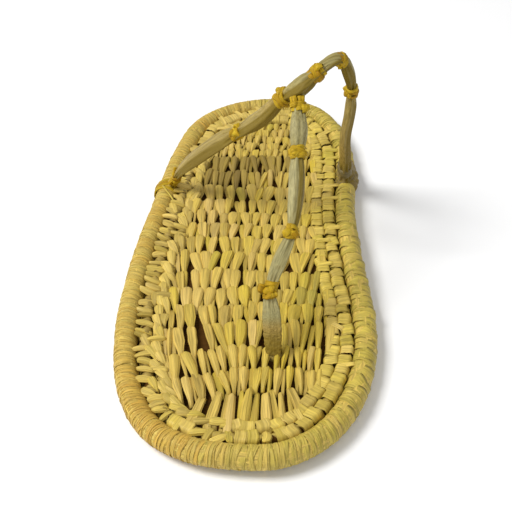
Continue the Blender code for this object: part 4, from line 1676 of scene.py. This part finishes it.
@dataclass
class Upper:
    """The straps, what holds them to the sole, and their ties."""

    shop: Workshop
    seed: int = 81
    knot_sides: int = 28
    bulb_sides: int = 36
    bulb_sections: int = 19
    bulb_shift: float = 0.0018
    eye_turns: int = 4
    eye_band: float = 0.0074

    def __post_init__(self) -> None:
        """Lay the two straps on their paths."""
        self.rim = Line(SIZES.rim_radius, SIZES.rim_radius)
        sides = ((-1, STRAPS.lateral_along), (1, STRAPS.medial_along))
        self.anchors = [self.anchor(side, along) for side, along in sides]
        self.back = self.back_strap()
        self.thong = self.thong_strap()

    def anchor(self, side: int, along: float) -> float:
        """Distance round the rim at which a strap end sits."""
        samples = OUTLINE_CURVE.samples
        off = np.abs(samples[:, 1] - along * SIZES.length) + (samples[:, 0] * side < 0)
        distance = OUTLINE_CURVE.lengths[np.argmin(off)]
        return self.rim.nearest(OUTLINE_CURVE.inside(distance, SIZES.rim_radius, 0.0))

    def back_strap(self) -> LeafStrap:
        """The strap from the outer rim over the instep to the inner rim."""
        rows = STRAPS.rows(BACK_STRAP_ROWS, STRAPS.width, STRAPS.thickness)
        sizes = [STRAPS.width * STRAPS.end_width, STRAPS.thickness * STRAPS.end_thickness]
        seat = SIZES.rim_radius - STRAPS.eye_wall / 2
        ends, guides = [], []
        for distance, neighbour in zip(self.anchors, (rows[0], rows[-1])):
            centre, forward, _ = self.rim.frame(distance)
            way = neighbour[:3] - centre
            way = unit(way - forward * np.dot(way, forward))
            ends.append(np.array([*(centre + way * seat), *sizes]))
            guides.append(np.array([*(centre - way * SIZES.rim_radius), *sizes]))
        path = smooth_curve(np.vstack([ends[0], rows, ends[1]]), *guides)
        return LeafStrap(Curve(path), ALONG, BACK_STRAP_TIES, BACK_STRAP_FORM, self.seed,
                         turned=0.69)

    def thong_strap(self) -> LeafStrap:
        """The thong, from its hole in the sole up into the back strap."""
        rows = STRAPS.rows(THONG_ROWS, STRAPS.thong_width, STRAPS.thong_thickness)
        top = SIZES.field_height + float(lift(STRAPS.hole[1])) + SIZES.clearance
        sizes = [STRAPS.thong_width, STRAPS.thong_thickness]
        below, foot = (np.array([*(STRAPS.hole + UP * height), *sizes])
                       for height in (top - SIZES.field_height, top))
        path = smooth_curve(np.vstack([foot, rows]), below, 2 * rows[-1] - rows[-2])
        return LeafStrap(Curve(path), ACROSS, THONG_TIES, THONG_FORM, self.seed + 1,
                         painted_shade_side=(0.45, 0.77), crumpled=0.014)

    def cords(self) -> None:
        """Make both straps, the thong's foot in the sole and its flat knot under it."""
        shell = Shell()
        self.back.skin(shell, 0.0030)
        self.thong.skin(shell, 0.0012)
        rng = np.random.default_rng(self.seed + 2)
        angle = round_angles(self.knot_sides)
        ripple = 1 + 0.06 * np.cos(5 * angle + 1) + 0.05 * np.cos(9 * angle)
        rings = []
        for height, wide, deep in KNOT_LEVELS:
            share = ripple * rng.uniform(0.98, 1.02, self.knot_sides) / 2
            rings.append(oval(STRAPS.hole + UP * height, ACROSS, ALONG,
                              share * wide * STRAPS.thong_width,
                              share * deep * STRAPS.thong_thickness, self.knot_sides))
        shell.tube(np.array(rings), tint=0.8)
        self.bulb(shell)
        self.shop.shaped("strap_cords", shell, "strap", "straps")

    def bulb(self, shell: Shell) -> None:
        """Add the wrinkled end that goes round the rim on the inner side."""
        centre, forward, inwards = self.rim.frame(self.anchors[1])
        rng = np.random.default_rng(self.seed + 3)
        angle = round_angles(self.bulb_sides)
        outer = smooth_step(np.cos(angle - math.radians(125)))
        rings = []
        for place in np.linspace(-1, 1, self.bulb_sections):
            swell = (1 - place * place) ** 1.1
            radius = SIZES.rim_radius * (0.90 + 0.16 * swell)
            radius = radius + swell * (0.0013 * outer + 0.00022 * np.cos(9 * angle + 2 * place)
                                       + 0.0003 * math.cos(place * 14 + 2))
            along = place * STRAPS.eye_width * (1.20 + 0.42 * place) + self.bulb_shift
            deep = np.where(angle < math.pi, radius, np.minimum(radius, SIZES.rim_radius))
            rings.append(oval(centre + forward * along, inwards, UP, radius, deep, self.bulb_sides))
        tint = 0.84 + rng.normal(0, 0.12, (self.bulb_sections, self.bulb_sides))
        shell.tube(np.array(rings), tint=np.clip(tint, 0, 1))

    def eye_wraps(self) -> None:
        """Wind the leaf that holds the outer strap end round the rim."""
        rng = np.random.default_rng(self.seed + 4)
        plan = Plan()
        radius = SIZES.rim_radius
        for i in range(self.eye_turns):
            share = (i + 0.5) / self.eye_turns
            distance = self.anchors[0] + (share - 0.5) * self.eye_band
            point, forward, inwards = self.rim.frame(distance)
            grow = 0.0007 + 0.0005 * math.sin(share * math.pi) * rng.uniform(0.6, 1.4)
            size = (radius + grow, self.eye_band / self.eye_turns * 1.35, radius + 0.0001)
            lean = forward + inwards * rng.normal(0.0, 0.14)
            plan.add(point - inwards * grow * 0.5, -inwards, lean, size, rng.uniform(0.1, 1.0))
        self.shop.sewn("rim_eye_wraps", plan, "wrap", "tie", self.seed + 5, 0.03)

    def loose_strand(self) -> None:
        """Lay the thin loose strand that crosses the rim by the outer anchor."""
        points = []
        for shift, degrees, off in LOOSE_STRAND:
            centre, _, inwards = self.rim.frame(self.anchors[0] + 0.0040 + shift)
            turn = math.radians(degrees)
            way = inwards * math.cos(turn) + UP * math.sin(turn)
            points.append(centre + way * (SIZES.rim_radius + off * MM))
        path = Curve(smooth_curve(np.array(points), 2 * points[0] - points[1],
                                  2 * points[-1] - points[-2], 6))
        rings = []
        for distance in np.linspace(0, path.length, 24):
            ahead, back = path.at(np.clip([distance + 0.0003, distance - 0.0003], 0, path.length))
            forward = unit(ahead - back)
            side = unit(np.cross(forward, UP))
            rings.append(oval(path.at(distance), side, np.cross(side, forward), 0.00045, 0.0003, 8))
        shell = Shell()
        shell.tube(np.array(rings), tint=0.8)
        self.shop.shaped("loose_strand", shell, "coil")

    def tie_all(self) -> None:
        """Bind every tie."""
        rng = np.random.default_rng(self.seed + 6)
        knots = Plan()
        for strap in (self.back, self.thong):
            for tie in strap.ties:
                turns = Plan()
                strap.bind(tie, turns, knots, rng)
                finish = "tie_dull" if tie.name == "tie_medial_anchor" else "tie"
                self.shop.sewn(f"{tie.name}_turns", turns, "turn", finish,
                               self.seed + 7 + round(tie.place * 100), 0.05, tie.name)
        self.shop.sewn("tie_ends", knots, "knot", "tie", self.seed + 8, 0.4)

    def make(self) -> None:
        """Make the upper."""
        self.cords()
        self.eye_wraps()
        self.loose_strand()
        self.tie_all()


@dataclass(frozen=True)
class Studio:
    """White floor, soft light from the upper left, and the photograph's viewing angle."""

    camera_place: tuple = (0.0396, -0.3399, 0.3003)
    aim: tuple = (-0.0012, 0.0007, 0.0)
    lens: float = 69.6
    sensor: float = 36.0
    floor_side: float = 6.0
    floor_drop: float = 0.0001
    floor_colour: tuple = (0.93, 0.93, 0.93, 1.0)
    key: tuple = ((-0.85, -0.20, 1.15), 0.60, 19.0)
    fill: tuple = ((0.5, -1.0, 0.7), 0.8, 1.8)
    sky: float = 0.50

    def aimed(self, name: str, data: bpy.types.ID, place: tuple, aim: tuple) -> bpy.types.Object:
        """Put a camera or a light at a place and turn it to what it faces."""
        piece = in_scene(name, data)
        piece.location = place
        piece.rotation_mode = "QUATERNION"
        piece.rotation_quaternion = (Vector(aim) - Vector(place)).to_track_quat("-Z", "Y")
        return piece

    def camera(self) -> None:
        """Set the camera."""
        data = bpy.data.cameras.new("camera")
        data.lens = self.lens
        data.sensor_width = self.sensor
        bpy.context.scene.camera = self.aimed("camera", data, self.camera_place, self.aim)

    def floor(self) -> None:
        """Lay the plain pale floor."""
        half = self.floor_side / 2
        mesh = bpy.data.meshes.new("floor")
        corners = ((-half, -half), (half, -half), (half, half), (-half, half))
        mesh.from_pydata([(*corner, -self.floor_drop) for corner in corners], [], [(0, 1, 2, 3)])
        material = bpy.data.materials.new("floor")
        material.use_nodes = True
        NodeTools(material.node_tree).feed(material.node_tree.nodes["Principled BSDF"], {
            "Base Color": self.floor_colour, "Roughness": 0.9, "Specular IOR Level": 0.1})
        mesh.materials.append(material)
        in_scene("floor", mesh)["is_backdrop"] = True

    def light(self, name: str, place: tuple, side: float, power: float) -> None:
        """Hang a square soft light that faces the sandal."""
        data = bpy.data.lights.new(name, "AREA")
        data.size = side
        data.energy = power
        self.aimed(name, data, place, (0.0, 0.0, 0.0))

    def make(self) -> None:
        """Set up the whole studio."""
        self.camera()
        self.floor()
        self.light("key", *self.key)
        self.light("fill", *self.fill)
        world = bpy.data.worlds.new("studio")
        world.use_nodes = True
        NodeTools(world.node_tree).feed(world.node_tree.nodes["Background"], {
            "Color": (1.0, 1.0, 1.0, 1.0), "Strength": self.sky})
        bpy.context.scene.world = world
        bpy.context.scene.view_settings.view_transform = "Standard"


def write_sizes() -> None:
    """Gather the corners of the box of the solids and of the box of the dressed sandal."""
    boxes = {"cad": CAD_BOUNDS, "visual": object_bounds()}
    rows = {name: [list(corner) for corner in box] for name, box in boxes.items()}


def main() -> None:
    """Build the sandal's looks in order."""
    logging.basicConfig(level=logging.INFO, format="%(name)s: %(message)s")
    fibre = fibre_group()
    leaves = {key: finish.material(fibre) for key, finish in FINISHES.items()}
    shop = Workshop(leaves, StripForms().stores(), SewingTree())
    Studio().make()
    for part in (SoleField(shop), SoleCoils(shop), RimCoil(shop), Upper(shop)):
        part.make()
        LOG.info("%s done", type(part).__name__)
    for store in shop.strips.values():
        store.empty()
    write_sizes()


if __name__ == "__main__":
    main()
